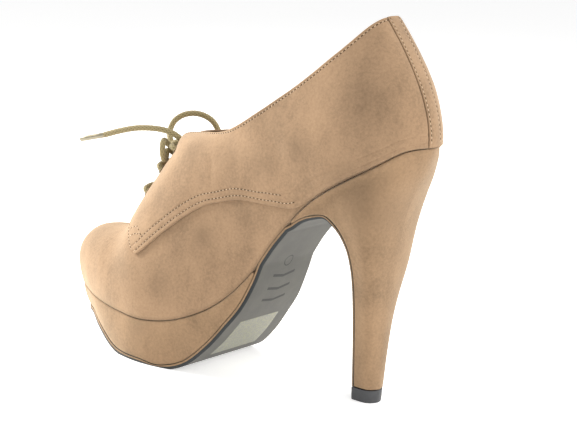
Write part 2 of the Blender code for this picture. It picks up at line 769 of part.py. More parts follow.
def main():
    """Build the shoe in an emptied scene."""
    for item in list(bpy.data.objects):
        bpy.data.objects.remove(item)
    suede = material("suede", SUEDE, 0.9)
    heel_suede = material("heel_suede", HEEL_SUEDE, 0.9)
    sole_rubber = material("sole_rubber", SOLE_GREY, 0.7)
    lift_rubber = material("lift_rubber", LIFT_BLACK, 0.5)
    lining = material("lining", LINING, 0.6)
    lace = material("lace", LACE_OLIVE, 0.8)
    metal = material("metal", BRASS, 0.35, 1.0)
    upper = make_upper(suede)
    quarter_outer = make_quarter("quarter_outer", 1, suede)
    quarter_inner = make_quarter("quarter_inner", -1, suede)
    punch_holes("outer", 1, (upper, quarter_outer))
    punch_holes("inner", -1, (upper, quarter_inner))
    make_eyelets(metal)
    make_lacing(lace, metal)
    make_backstay(suede)
    make_tongue(suede)
    make_insole(lining)
    make_platform(heel_suede)
    make_outsole(sole_rubber)
    make_heel(heel_suede)
    make_lift(lift_rubber)


main()
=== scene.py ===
"""Looks of a lace up platform heel, a left shoe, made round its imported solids.

Metres, +Z up, +X toward the toe, +Y toward the shoe's outer side. The tables of ribs, sole and heel
are those that the solids are made from, so every panel, seam and stitch lies on the same last. A
place is a rib's number, from 0 at the toe to 14 at the back, and a rise is a share of a rib's height.
"""
import json
import math

import bpy
import numpy as np
from bpy.props import FloatProperty, FloatVectorProperty, IntProperty, PointerProperty
from mathutils import Matrix, Vector, noise

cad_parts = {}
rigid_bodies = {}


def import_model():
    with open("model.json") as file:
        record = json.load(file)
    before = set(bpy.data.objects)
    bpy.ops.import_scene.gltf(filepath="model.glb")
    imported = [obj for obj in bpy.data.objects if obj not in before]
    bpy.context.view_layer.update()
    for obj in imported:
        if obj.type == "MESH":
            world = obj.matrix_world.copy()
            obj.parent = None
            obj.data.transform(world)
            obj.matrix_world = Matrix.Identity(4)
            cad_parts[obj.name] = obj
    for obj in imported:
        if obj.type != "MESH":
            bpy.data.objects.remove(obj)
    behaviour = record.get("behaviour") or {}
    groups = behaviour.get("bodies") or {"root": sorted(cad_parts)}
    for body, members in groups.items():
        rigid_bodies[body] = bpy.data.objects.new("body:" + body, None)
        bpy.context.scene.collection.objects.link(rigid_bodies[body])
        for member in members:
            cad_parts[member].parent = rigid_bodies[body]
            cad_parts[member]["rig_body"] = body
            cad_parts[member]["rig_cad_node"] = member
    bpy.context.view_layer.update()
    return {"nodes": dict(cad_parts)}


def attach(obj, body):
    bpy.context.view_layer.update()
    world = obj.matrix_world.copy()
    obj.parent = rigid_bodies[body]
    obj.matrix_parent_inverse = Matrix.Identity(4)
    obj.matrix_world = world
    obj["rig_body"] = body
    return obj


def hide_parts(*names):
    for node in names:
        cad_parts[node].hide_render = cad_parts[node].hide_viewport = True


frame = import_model()

bl_info = {
    "name": "Lace up heel",
    "version": (1, 0, 0),
    "blender": (4, 5, 0),
    "location": "3D View > Sidebar > Shoe",
    "description": "Models the suede, seams, laces and soles of a lace up platform heel",
    "category": "Add Mesh",
}

# Last and soles, as in the solids, but the collar's dips and the tongue's end follow the photograph
SHOE_LENGTH = 0.229
BALL_SHARE = 0.6135
BALL_WIDTH = 0.0765
WAIST_WIDTH = 0.048
SEAT_WIDTH = 0.053
COLLAR_WIDTH = 0.047
PLATFORM_RISE = 0.0246
SEAT_RISE = 0.1385
TOE_BOX = 0.035
INSTEP = 0.062
COUNTER = 0.063
WALL = 0.0016
QUARTER_THICK = 0.0012
BACKSTAY_THICK = 0.0015
BACKSTAY_WIDTH = 0.010
STAY_INSET = 0.0013
STAY_DENT = 0.00014
EDGE_RISES = (0.01, 0.995)
TONGUE_THICK = 0.0014
TONGUE_WIDTH = 0.034
THROAT_LIMIT = 10.0
TONGUE_END = 8.6
TONGUE_BOW = 0.35
SOLE_THICK = 0.0026
FLAP_THICK = 0.0012
GROUND_OFF = 0.0002
LIFT_RISE = 0.0070
LIP_SHARE = 0.36
CLEARANCE = 0.0003
OVERLAY_GAP = 0.0005
TONGUE_GAP = 0.0008
THROAT_GAP = 0.010
THROAT_START = 5.0
THROAT_ROUND = 0.6
DIP_PLACES = (8.0, 8.5, 8.7, 9.0, 9.2, 9.4, 9.6, 9.8, 10.0, 10.4, 10.8)
COLLAR_DIPS = {
    1: (0, 0.050, 0.080, 0.084, 0.083, 0.083, 0.068, 0.046, 0.028, 0.008, 0),
    -1: (0, 0.050, 0.082, 0.105, 0.118, 0.118, 0.100, 0.075, 0.050, 0.016, 0),
}
CORNER_PLACE = 8.7
CORNER_REACH = 0.007
CORNER_LIFT = 0.0012
PLATFORM_END = 8.15
SOLE_WAIST_END = 9.3
EYELET_PLACES = (6.1, 7.1, 8.1)
EYELET_SET = 0.0045
EYELET_BORE = 0.0034
EYELET_WALL = 0.0004
EYELET_FLANGE = 0.0060
EYELET_RIM = 0.0005
LACE_WIDTH = 0.0028
BAR_BOW = 0.0008
AGLET_WIDTH = 0.0030
KNOT_CENTRE = (0.0273, 0.0008, 0.1144)

RIB_COLUMNS = ("along width outer inner climb height top lean spread fan "
               "low_up low_slant low_out high_up high_slant high_out")
RIBS = [
    (1, BALL_WIDTH, -0.065, 0.065, 0.043, TOE_BOX, 0.991, -0.085, 0, 0, 0.48, 0, 0.205, 0.03, 0, 0.59),
    (0.98, BALL_WIDTH, 0.15, 0.248, 0.039, TOE_BOX, 1.014, -0.074, 0, 32, 0.48, 0, 0.2, 0.03, 0, 0.59),
    (0.93, BALL_WIDTH, 0.268, 0.359, 0.028, TOE_BOX, 1.063, -0.039, 0, 58, 0.49, 0, 0.18, 0.03, 0, 0.63),
    (0.862, BALL_WIDTH, 0.376, 0.431, 0.014, TOE_BOX, 1.143, 0.004, 0, 76, 0.5, 0, 0.135, 0.02, 0, 0.66),
    (0.771, BALL_WIDTH, 0.464, 0.477, 0.002, TOE_BOX, 1.263, 0.068, 0, 86, 0.5, 8, 0.09, 0, 0, 0.56),
    (0.679, BALL_WIDTH, 0.507, 0.486, 0, INSTEP, 0.821, 0.135, 0, 90, 0.5, 18, 0.06, 0, 0, 0.52),
    (0.579, BALL_WIDTH, 0.486, 0.444, 0.041, INSTEP, 0.938, 0.207, 0, 90, 0.48, 26, 0.05, 0, 0, 0.41),
    (0.4825, WAIST_WIDTH, 0.677, 0.594, 0.142, INSTEP, 0.985, 0.264, 0, 90, 0.46, 36, 0.045, 0, 0, 0.345),
    (0.408, WAIST_WIDTH, 0.567, 0.49, 0.299, INSTEP, 0.908, 0.297, 0, 90, 0.46, 42, 0.04, 0, 0, 0.33),
    (0.343, WAIST_WIDTH, 0.521, 0.448, 0.5, INSTEP, 0.7, 0.325, 0, 90, 0.46, 48, 0.035, 0, 0, 0.305),
    (0.2555, WAIST_WIDTH, 0.531, 0.479, 0.7, COUNTER, 0.511, 0.24, 0.436, 90, 0.42, 50, 0.05, 0.3, 58, 0.08),
    (0.168, SEAT_WIDTH, 0.506, 0.491, 0.82, COUNTER, 0.659, 0.162, 0.5, 90, 0.4, 35, 0.07, 0.3, 48, 0.06),
    (0.0895, SEAT_WIDTH, 0.472, 0.472, 0.912, COUNTER, 0.857, 0.122, 0.436, 112, 0.38, 18, 0.06, 0.3, 40, 0.06),
    (0.035, SEAT_WIDTH, 0.311, 0.311, 0.987, COUNTER, 0.962, 0.118, 0.245, 146, 0.36, 6, 0.03, 0.29, 37, 0.03),
    (0.007, SEAT_WIDTH, 0, 0, 1, COUNTER, 0.99, 0.133, 0, 180, 0.35, 0, 0, 0.284, 36, 0),
]
# Sole: place, then back, drop, outer and inner shares
SOLE_ROWS = [
    (0.0, 0.022, 0.530, 1.00, 1.00),
    (1.0, 0.020, 0.500, 0.93, 0.93),
    (2.0, 0.015, 0.505, 0.90, 0.93),
    (3.0, 0.008, 0.640, 0.95, 0.96),
    (4.0, 0.000, 0.870, 1.00, 1.00),
    (5.0, 0.000, 0.902, 1.02, 1.01),
    (5.6, 0.003, 1.015, 1.00, 1.00),
    (6.0, 0.016, 0.950, 0.96, 0.98),
    (6.5, 0.023, 0.690, 0.96, 0.92),
    (7.0, 0.027, 0.370, 0.97, 0.87),
    (7.5, 0.021, 0.235, 0.97, 0.89),
    (8.0, 0.010, 0.085, 0.97, 0.92),
    (8.4, 0.000, 0.000, 0.98, 0.95),
    (9.3, 0.000, 0.000, 0.98, 0.97),
]
# Heel: along and climb of its front, half width, along and climb of its back
HEEL_ROWS = [
    (0.3035, 0.977, 0.500, 0.0095, 0.962),
    (0.2794, 0.955, 0.500, 0.0158, 0.928),
    (0.2467, 0.916, 0.504, 0.0262, 0.875),
    (0.2152, 0.882, 0.500, 0.0450, 0.806),
    (0.1938, 0.829, 0.479, 0.0600, 0.734),
    (0.1746, 0.757, 0.437, 0.0700, 0.662),
    (0.1589, 0.674, 0.396, 0.0765, 0.586),
    (0.1510, 0.588, 0.354, 0.0815, 0.502),
    (0.1507, 0.496, 0.292, 0.0880, 0.414),
    (0.1525, 0.368, 0.229, 0.0955, 0.304),
    (0.1535, 0.200, 0.177, 0.0991, 0.164),
    (0.1535, 0.000, 0.135, 0.1004, 0.000),
]
# Quarter: place and rise of each strap's lower and upper end
QUARTER_ROWS = [
    (5.38, 0.440, 5.36, 0.460),
    (5.50, 0.432, 5.26, 0.560),
    (5.68, 0.434, 5.24, 0.680),
    (5.95, 0.440, 5.36, 0.810),
    (6.30, 0.448, 5.62, 0.920),
    (6.75, 0.452, 6.05, 0.996),
    (7.42, 0.438, 6.90, 0.996),
    (8.18, 0.390, 7.90, 0.996),
    (8.75, 0.305, 8.80, 0.996),
    (9.10, 0.240, 9.40, 0.996),
    (9.45, 0.125, 9.90, 0.996),
    (9.85, 0.012, 10.5, 0.996),
    (10.8, 0.010, 11.2, 0.996),
    (12.0, 0.010, 12.2, 0.996),
    (13.1, 0.010, 13.2, 0.996),
    (14.0, 0.010, 14.0, 0.996),
]

# Routes of the lace beyond the knot, close to those of the solids
INNER_LOOP = [
    (0.0326, -0.0010, 0.1165), (0.0358, -0.0028, 0.1193), (0.0384, -0.0060, 0.1232),
    (0.0382, -0.0090, 0.1276), (0.0355, -0.0121, 0.1308), (0.0306, -0.0159, 0.1325),
    (0.0243, -0.0191, 0.1315), (0.0200, -0.0207, 0.1290), (0.0165, -0.0216, 0.1243),
    (0.0152, -0.0215, 0.1200), (0.0170, -0.0190, 0.1175), (0.0213, -0.0137, 0.1179),
    (0.0246, -0.0085, 0.1173), (0.0264, -0.0047, 0.1161),
]
OUTER_LOOP = [
    (0.0295, 0.0034, 0.1156), (0.0306, 0.0056, 0.1174), (0.0305, 0.0082, 0.1192),
    (0.0289, 0.0114, 0.1171), (0.0279, 0.0125, 0.1145), (0.0278, 0.0120, 0.1114),
    (0.0284, 0.0100, 0.1089), (0.0294, 0.0072, 0.1103), (0.0302, 0.0058, 0.1129),
    (0.0290, 0.0034, 0.1137),
]
LACE_END = [
    (0.0213, 0.0030, 0.1190), (0.0246, 0.0049, 0.1224), (0.0294, 0.0066, 0.1243),
    (0.0339, 0.0083, 0.1250), (0.0398, 0.0100, 0.1250), (0.0477, 0.0120, 0.1241),
    (0.0591, 0.0143, 0.1210), (0.0682, 0.0158, 0.1178),
]
AGLET = [(0.0685, 0.0159, 0.1176), (0.0834, 0.0192, 0.1135)]

# Main creases and ripples of the suede: side view place, slant, size and depth in metres
CREASE_COLUMNS = "x z slant length width depth"
OUTER_CREASES = [
    (-0.018, 0.112, 75, 0.016, 0.0022, 0.00022),
    (-0.030, 0.104, 60, 0.020, 0.0035, 0.00020),
    (-0.060, 0.132, 40, 0.026, 0.0050, 0.00030),
    (-0.118, 0.168, 68, 0.022, 0.0042, 0.00028),
    (-0.104, 0.176, 60, 0.020, 0.0045, -0.00025),
    (0.012, 0.080, 35, 0.022, 0.0040, 0.00022),
    (0.030, 0.062, 20, 0.024, 0.0045, 0.00024),
    (0.058, 0.052, 65, 0.016, 0.0040, -0.00018),
    (0.006, 0.052, 50, 0.022, 0.0045, 0.00020),
]
INNER_CREASES = [
    (-0.024, 0.108, 70, 0.018, 0.0030, 0.00022),
    (-0.070, 0.138, 45, 0.024, 0.0050, 0.00028),
    (-0.112, 0.166, 62, 0.022, 0.0042, 0.00026),
    (0.016, 0.074, 30, 0.024, 0.0042, 0.00024),
    (0.040, 0.058, 25, 0.020, 0.0045, 0.00020),
]

# Darker patches, nap mottling and one painted shade on the heel: side view place, radius in metres and strength
PATCH_COLUMNS = "x z radius strength"
OUTER_PATCHES = [
    (-0.002, 0.117, 0.0075, 0.55),
    (0.016, 0.091, 0.0060, 0.45),
    (-0.017, 0.076, 0.0065, 0.65),
    (-0.044, 0.091, 0.0050, 0.40),
    (0.069, 0.057, 0.0070, 0.50),
    (-0.030, 0.122, 0.0080, 0.35),
    (-0.054, 0.120, 0.0085, 0.45),
    (-0.077, 0.131, 0.0080, 0.50),
    (-0.061, 0.142, 0.0070, 0.35),
    (-0.110, 0.160, 0.0120, 0.40),
    (0.032, 0.050, 0.0080, 0.45),
    (0.003, 0.047, 0.0075, 0.50),
    (0.017, 0.019, 0.0070, 0.55),
    (-0.103, 0.122, 0.0090, 0.35),
    # Painted shade: the heel under the seat, darkened as if in shade
    (-0.114, 0.108, 0.0180, 0.75),
]
INNER_PATCHES = [
    (-0.006, 0.112, 0.0080, 0.45),
    (0.020, 0.086, 0.0070, 0.40),
    (-0.028, 0.080, 0.0070, 0.55),
    (-0.066, 0.128, 0.0090, 0.45),
    (0.060, 0.056, 0.0080, 0.45),
    (0.030, 0.047, 0.0070, 0.50),
    (-0.108, 0.165, 0.0110, 0.40),
    (0.010, 0.020, 0.0070, 0.45),
]

# Camera, from the photograph
PHOTO_SIZE = (577, 433)
SENSOR = 36.0
VIEW_TURN = 35.97
VIEW_RISE = 11.67
VIEW_ROLL = 3.41
VIEW_DISTANCE = 0.8922
VIEW_FOCAL = 1663.17
VIEW_TARGET = (-0.05206, 0.0, 0.08873)

RIB_COUNT = len(RIBS)
BACK = RIB_COUNT - 1
LOOP = 2 * BACK


def named(columns, rows):
    """Rows of a table as dictionaries by column."""
    return [dict(zip(columns.split(), row)) for row in rows]


def slanted(degrees):
    """Unit vector that leans forward from straight up by this slant."""
    angle = math.radians(degrees)
    return np.array([math.sin(angle), 0.0, math.cos(angle)])


def rib_points(rib, side):
    """Four control points of one rib, from the last's lower edge to its top line."""
    half = rib["outer"] if side > 0 else rib["inner"]
    foot_point = np.array([
        (rib["along"] - BALL_SHARE) * SHOE_LENGTH,
        side * half * rib["width"],
        PLATFORM_RISE + rib["climb"] * (SEAT_RISE - PLATFORM_RISE),
    ])
    top = foot_point + np.array([rib["lean"] * SHOE_LENGTH, 0, rib["top"] * rib["height"]])
    top[1] = side * rib["spread"] * COLLAR_WIDTH
    reach = math.hypot(top[0] - foot_point[0], top[2] - foot_point[2])
    fan = math.radians(rib["fan"])
    outward = np.array([math.cos(fan), side * math.sin(fan), 0.0])
    low = foot_point + reach * (rib["low_up"] * slanted(rib["low_slant"]) + rib["low_out"] * outward)
    high = top + reach * (rib["high_out"] * outward - rib["high_up"] * slanted(rib["high_slant"]))
    return [foot_point, low, high, top]


def last_cage():
    """Control points of all ribs, round the outer side from the toe and back by the inner side."""
    ribs = named(RIB_COLUMNS, RIBS)
    outer = [rib_points(rib, 1) for rib in ribs]
    inner = [rib_points(rib, -1) for rib in ribs[BACK - 1:0:-1]]
    return np.array(outer + inner)


CAGE = last_cage()


def rib_at(turn):
    """Control points at any places round the last, on a smooth curve through the ribs."""
    turn = np.asarray(turn, float)
    index = np.floor(turn).astype(int)
    share = (turn - index)[..., None, None]
    before, start, end, after = (CAGE[(index + step) % LOOP] for step in (-1, 0, 1, 2))
    return 0.5 * (
        2 * start
        + (end - before) * share
        + (2 * before - 5 * start + 4 * end - after) * share ** 2
        + (3 * start - before - 3 * end + after) * share ** 3
    )


def skin(turn, rise):
    """Points of the last's surface."""
    turn, rise = np.broadcast_arrays(np.asarray(turn, float), np.asarray(rise, float))
    weights = np.stack([
        (1 - rise) ** 3, 3 * rise * (1 - rise) ** 2, 3 * rise ** 2 * (1 - rise), rise ** 3,
    ], axis=-1)
    return (weights[..., None] * rib_at(turn)).sum(axis=-2)


def unit(vectors):
    """Vectors of length one."""
    return vectors / np.maximum(np.linalg.norm(vectors, axis=-1, keepdims=True), 1e-12)


def run_along(line):
    """Distance along a line at each of its points."""
    return np.concatenate([[0], np.cumsum(np.linalg.norm(np.diff(line, axis=0), axis=1))])


def between(stations, run, rows):
    """Rows of three numbers read at stations of a run."""
    return np.stack([np.interp(stations, run, rows[:, axis]) for axis in range(3)], axis=1)


def skin_normal(turn, rise):
    """Unit vectors out of the last's surface."""
    step = 0.02
    turn, rise = np.broadcast_arrays(np.asarray(turn, float), np.asarray(rise, float))
    round_way = skin(turn + step, rise) - skin(turn - step, rise)
    upward = skin(turn, np.minimum(rise + step, 1)) - skin(turn, np.maximum(rise - step, 0))
    return unit(np.cross(round_way, upward))


def lifted(turn, rise, height):
    """Points at a height over the last's surface."""
    return skin(turn, rise) + np.asarray(height)[..., None] * skin_normal(turn, rise)


def turn_of(place, side):
    """Turns round the last of rib places on the outer (1) or inner (-1) side."""
    return np.where(np.asarray(side) > 0, place, LOOP - np.asarray(place))


def rise_at_width(place, side, width):
    """Rises where the last's upper half is this far from the middle line."""
    turn = turn_of(place, side)
    turn, width = np.broadcast_arrays(np.asarray(turn, float), np.asarray(width, float))
    low, high = np.full(turn.shape, 0.5), np.ones(turn.shape)
    for _ in range(30):
        middle = (low + high) / 2
        wide = side * skin(turn, middle)[..., 1] > width
        low, high = np.where(wide, middle, low), np.where(wide, high, middle)
    return high


def throat_half(place):
    """Half the gap between the facings, with a round end at the throat's start."""
    share = np.clip((np.asarray(place, float) - THROAT_START) / THROAT_ROUND, 0, 1)
    return THROAT_GAP / 2 * np.sqrt(share * (2 - share))


def open_rise(place, side):
    """Rises of the upper's open edge: the throat, then the top line."""
    place = np.asarray(place, float)
    top = 1 - np.interp(place, DIP_PLACES, COLLAR_DIPS[side])
    half = throat_half(place)
    behind = place > THROAT_LIMIT
    wide = (half == 0) | behind | (side * skin(turn_of(place, side), 1.0)[..., 1] >= half)
    return np.where(wide, top, np.minimum(rise_at_width(place, side, half), top))


def corner_lift(points):
    """Height in metres by which the facings' top corners stand off the foot."""
    lift = np.zeros(len(points))
    for side in (1, -1):
        spot = np.array([CORNER_PLACE])
        corner = skin(turn_of(spot, side), open_rise(spot, side))
        lift += CORNER_LIFT * np.exp(-(np.linalg.norm(points - corner, axis=1) / CORNER_REACH) ** 2)
    return lift


def place_at_width(rise, width):
    """Places near the back where the last is this far from the middle line."""
    rise = np.asarray(rise, float)
    low, high = np.full(rise.shape, BACK - 1.0), np.full(rise.shape, float(BACK))
    for _ in range(30):
        middle = (low + high) / 2
        wide = skin(middle, rise)[..., 1] > width
        low, high = np.where(wide, middle, low), np.where(wide, high, middle)
    return low


def eased(knots, rows, place):
    """Smooth curve through rows of numbers that stand at rising knots."""
    rows, knots = np.asarray(rows, float), np.asarray(knots, float)
    place = np.asarray(place, float)
    slopes = np.gradient(rows, knots, axis=0)
    index = np.clip(np.searchsorted(knots, place, side="right") - 1, 0, len(knots) - 2)
    width = (knots[index + 1] - knots[index])[..., None]
    share = (place - knots[index])[..., None] / width
    square, cube = share ** 2, share ** 3
    return (
        (2 * cube - 3 * square + 1) * rows[index]
        + (cube - 2 * square + share) * width * slopes[index]
        + (3 * square - 2 * cube) * rows[index + 1]
        + (cube - square) * width * slopes[index + 1]
    )


def foot(place, side):
    """Points of the last's lower edge."""
    return rib_at(turn_of(place, side))[..., 0, :]


def sole_line(place, side):
    """Points where the sole meets what stands on it, ahead of the heel."""
    back, drop, outer, inner = eased(
        [row[0] for row in SOLE_ROWS], [row[1:] for row in SOLE_ROWS], place,
    ).T
    points = foot(place, side).copy()
    points[:, 0] -= np.maximum(back, 0) * SHOE_LENGTH
    points[:, 1] *= outer if side > 0 else inner
    points[:, 2] -= np.maximum(drop, 0) * PLATFORM_RISE
    return points


def bed_height(along):
    """Heights of the last's lower edge at distances along the shoe."""
    line = foot(np.linspace(BACK, 0, 160), 1)
    return np.interp(along, line[:, 0], line[:, 2])


def heel_section(level):
    """Front middles, half widths and back middles of the heel at levels of its table."""
    front_along, front_climb, half, back_along, back_climb = eased(
        range(len(HEEL_ROWS)), HEEL_ROWS, level,
    ).T
    front = np.zeros((len(half), 3))
    front[:, 0] = (front_along - BALL_SHARE) * SHOE_LENGTH
    front[:, 2] = LIFT_RISE + front_climb * (bed_height(front[:, 0]) - LIFT_RISE)
    back = np.zeros((len(half), 3))
    back[:, 0] = (back_along - BALL_SHARE) * SHOE_LENGTH
    back[:, 2] = LIFT_RISE + back_climb * (SEAT_RISE - LIFT_RISE)
    return front, half * WAIST_WIDTH, back


def side_normals(chain):
    """Unit vectors in side view out of a chain that runs from toe to heel, toward the floor."""
    ways = unit(np.gradient(np.asarray(chain)[:, [0, 2]], axis=0))
    return np.stack([-ways[:, 1], np.zeros(len(ways)), ways[:, 0]], axis=1)


def places(stops):
    """Places from (end, steps) pairs, each run in even steps from the end before."""
    found = [stops[0]]
    for end, steps in stops[1:]:
        found += list(np.linspace(found[-1], end, steps + 1)[1:])
    return np.array(found)


# Materials


class Wire:
    """Output of a node, with the sums that its material's nodes make."""

    def __init__(self, finish, socket):
        self.finish = finish
        self.socket = socket

    def sum(self, operation, first, second):
        """Math node on two numbers."""
        return self.finish.node("ShaderNodeMath", {"operation": operation}, {0: first, 1: second})

    def __add__(self, other):
        return self.sum("ADD", self, other)

    __radd__ = __add__

    def __sub__(self, other):
        return self.sum("SUBTRACT", self, other)

    def __rsub__(self, other):
        return self.sum("SUBTRACT", other, self)

    def __mul__(self, other):
        return self.sum("MULTIPLY", self, other)

    __rmul__ = __mul__


class Finish:
    """Material put together node by node."""

    def __init__(self, name):
        self.material = bpy.data.materials.new(name)
        self.material.use_nodes = True
        self.tree = self.material.node_tree
        self.shader = self.tree.nodes["Principled BSDF"]

    def node(self, kind, settings=None, values=None, output=0):
        """New node with its settings, then the values or links of its sockets."""
        made = self.tree.nodes.new(kind)
        for key, setting in (settings or {}).items():
            if key == "stops":
                self.set_stops(made.color_ramp, setting)
            else:
                setattr(made, key, setting)
        for key, value in (values or {}).items():
            self.feed(made.inputs[key], value)
        return Wire(self, made.outputs[output])

    def set_stops(self, ramp, stops):
        """Places and colours of a ramp."""
        while len(ramp.elements) < len(stops):
            ramp.elements.new(0.5)
        for element, (place, colour) in zip(ramp.elements, stops):
            element.position = place
            element.color = (*colour, 1)

    def feed(self, socket, value):
        """Link or plain value of a socket."""
        if isinstance(value, Wire):
            self.tree.links.new(value.socket, socket)
        elif hasattr(value, "__len__") and socket.type == "RGBA":
            socket.default_value = (*value, 1)
        else:
            socket.default_value = value

    def shade(self, **values):
        """Sockets of the surface shader, by name with _ for a space."""
        for key, value in values.items():
            self.feed(self.shader.inputs[key.replace("_", " ")], value)

    def place(self, stretch=(1, 1, 1)):
        """Object coordinates, stretched along the axes."""
        point = self.node("ShaderNodeTexCoord", output="Object")
        return self.node("ShaderNodeMapping", values={"Vector": point, "Scale": stretch})

    def noise(self, size, detail=2.0, rough=0.5, stretch=(1, 1, 1), distortion=0.0):
        """Cloudy pattern whose patches are about this many metres wide."""
        return self.node(
            "ShaderNodeTexNoise", {"noise_dimensions": "3D"},
            {"Vector": self.place(stretch), "Scale": 1 / size, "Detail": detail, "Roughness": rough,
             "Distortion": distortion},
        )

    def cells(self, size):
        """Distance from the borders of cells about this many metres wide."""
        return self.node(
            "ShaderNodeTexVoronoi", {"feature": "DISTANCE_TO_EDGE"},
            {"Vector": self.place(), "Scale": 1 / size},
        )

    def eased(self, value, low, high):
        """Share from 0 at low to 1 at high, smooth at both ends."""
        return self.node(
            "ShaderNodeMapRange", {"interpolation_type": "SMOOTHSTEP"},
            {"Value": value, "From Min": low, "From Max": high},
        )

    def mix(self, share, first, second):
        """Colour between two."""
        return self.node(
            "ShaderNodeMix", {"data_type": "RGBA"}, {0: share, 6: first, 7: second}, output=2,
        )

    def ramp(self, value, stops):
        """Colour by a number."""
        return self.node("ShaderNodeValToRGB", {"stops": stops}, {"Fac": value})

    def attribute(self, name):
        """Number that the mesh holds at each corner."""
        return self.node("ShaderNodeAttribute", {"attribute_name": name}, output="Fac")

    def bump(self, height, distance, strength=1.0):
        """Normal of a relief this many metres deep."""
        return self.node(
            "ShaderNodeBump", values={"Height": height, "Distance": distance, "Strength": strength},
        )


def scaled(colour, share):
    """Colour made darker or lighter."""
    return tuple(min(channel * share, 1) for channel in colour)


def suede_finish(name, colour, marks=0.0):
    """Brushed suede: soft clouds, nap and fibres, painted shade from the edge attribute, and an optional few
    pale scuffs.
    """
    finish = Finish(name)
    clouds = finish.noise(0.030, 2.0, 0.45, (1, 0.9, 0.75), 0.5)
    strokes = finish.noise(0.011, 2.0, 0.5, (1.2, 1.0, 0.7), 0.3)
    nap = finish.noise(0.0015, 4.0, 0.65)
    fibre = finish.noise(0.00028, 2.0, 0.6)
    tone = (
        (finish.eased(clouds, 0.3, 0.72) - 0.5) * 0.30
        + (finish.eased(strokes, 0.28, 0.74) - 0.5) * 0.20
        + (nap - 0.5) * 1.0
        + (fibre - 0.5) * 0.25
        + 0.5
    )
    colour_wire = finish.ramp(tone, [
        (0.0, scaled(colour, 0.62)),
        (0.5, colour),
        (1.0, scaled(colour, 1.30)),
    ])
    # The edge attribute darkens the suede: painted shade along cut edges and seams, with the darker patches of
    # nap mottling and painted shade
    edge = finish.attribute("edge")
    colour_wire = finish.mix(edge * 0.55, colour_wire, scaled(colour, 0.42))
    if marks:
        scuff = finish.eased(finish.noise(0.012, 4.0, 0.7, (1.4, 1, 0.6), 1.2), 0.66, 0.78)
        colour_wire = finish.mix(scuff * marks, colour_wire, scaled(colour, 1.5))
    finish.shade(
        Base_Color=colour_wire,
        Roughness=0.92,
        Specular_IOR_Level=0.18,
        Sheen_Weight=0.4,
        Sheen_Roughness=0.45,
        Sheen_Tint=(1.0, 0.86, 0.68),
        Normal=finish.bump(nap * 0.6 + fibre * 0.5 + strokes * 0.35, 0.00022, 0.55),
    )
    return finish.material


def lining_finish(name, colour):
    """Thin smooth leather with fine pores."""
    finish = Finish(name)
    grain = finish.cells(0.0009)
    cloud = finish.noise(0.02, 3.0)
    colour_wire = finish.mix(finish.eased(cloud, 0.3, 0.7), scaled(colour, 0.88), scaled(colour, 1.08))
    finish.shade(
        Base_Color=colour_wire,
        Roughness=0.55 + cloud * 0.15,
        Specular_IOR_Level=0.35,
        Normal=finish.bump(finish.eased(grain, 0.0, 0.18), 0.00006, 0.5),
    )
    return finish.material


def rubber_finish(name, colour, rough, grain_size=0.0006, depth=0.00008):
    """Matt rubber with a fine grain and faint rubbed patches."""
    finish = Finish(name)
    grain = finish.noise(grain_size, 3.0, 0.6)
    rubbed = finish.noise(0.011, 3.0, 0.6)
    share = finish.eased(rubbed, 0.3, 0.72) * 0.7 + grain * 0.3
    finish.shade(
        Base_Color=finish.mix(share, scaled(colour, 0.84), scaled(colour, 1.16)),
        Roughness=rough - 0.08 + rubbed * 0.16,
        Specular_IOR_Level=0.4,
        Normal=finish.bump(grain, depth, 0.6),
    )
    return finish.material


def patch_finish(name, colour, vein):
    """Pale crinkled patch with fine wandering veins."""
    finish = Finish(name)
    crinkle = finish.cells(0.0030)
    wander = finish.noise(0.0035, 3.0, 0.6, (1, 1, 1), 2.0)
    lines = 1 - finish.eased(crinkle, 0.02, 0.09)
    off_middle = finish.node("ShaderNodeMath", {"operation": "ABSOLUTE"}, {0: wander - 0.5})
    loops = 1 - finish.eased(off_middle, 0.0, 0.03)
    veins = finish.node("ShaderNodeMath", {"operation": "MAXIMUM"}, {0: lines * 0.6, 1: loops})
    finish.shade(
        Base_Color=finish.mix(veins * 0.75, colour, vein),
        Roughness=0.5,
        Normal=finish.bump(veins, 0.00012, 0.6),
    )
    return finish.material


def lace_finish(name, light, dark):
    """Round braid: the weave attribute gives its strands, with painted shade in the gaps between them and pale
    flecks of yarn.
    """
    finish = Finish(name)
    weave = finish.attribute("weave")
    fleck = finish.eased(finish.noise(0.0005, 2.0, 0.6), 0.52, 0.7)
    # Painted shade: the weave's low parts, the gaps between strands, take the dark colour
    base = finish.mix(finish.eased(weave, 0.1, 0.85), dark, light)
    finish.shade(
        Base_Color=finish.mix(fleck * 0.3, base, scaled(light, 1.5)),
        Roughness=0.85,
        Specular_IOR_Level=0.25,
        Sheen_Weight=0.25,
        Sheen_Roughness=0.5,
        Normal=finish.bump(finish.noise(0.00016, 2.0, 0.6), 0.00006, 0.7),
    )
    return finish.material


def metal_finish(name, colour, rough):
    """Plated metal with fine rubbing marks."""
    finish = Finish(name)
    rubbed = finish.noise(0.0009, 4.0, 0.65, (1, 1, 1), 0.6)
    finish.shade(
        Base_Color=finish.mix(rubbed, scaled(colour, 0.8), scaled(colour, 1.15)),
        Metallic=1.0,
        Roughness=rough + (rubbed - 0.5) * 0.25,
        Normal=finish.bump(rubbed, 0.00004, 0.4),
    )
    return finish.material


def thread_finish(name, colour):
    """Twisted sewing thread."""
    finish = Finish(name)
    twist = finish.noise(0.00025, 2.0, 0.5)
    finish.shade(
        Base_Color=finish.mix(twist, scaled(colour, 0.7), scaled(colour, 1.2)),
        Roughness=0.6,
        Sheen_Weight=0.2,
        Normal=finish.bump(twist, 0.00005, 0.6),
    )
    return finish.material


def hole_finish(name, colour):
    """Shadowed needle hole."""
    finish = Finish(name)
    shade = finish.noise(0.0004, 2.0, 0.5)
    finish.shade(
        Base_Color=finish.mix(shade, scaled(colour, 0.7), colour),
        Roughness=0.95,
        Specular_IOR_Level=0.05,
    )
    return finish.material


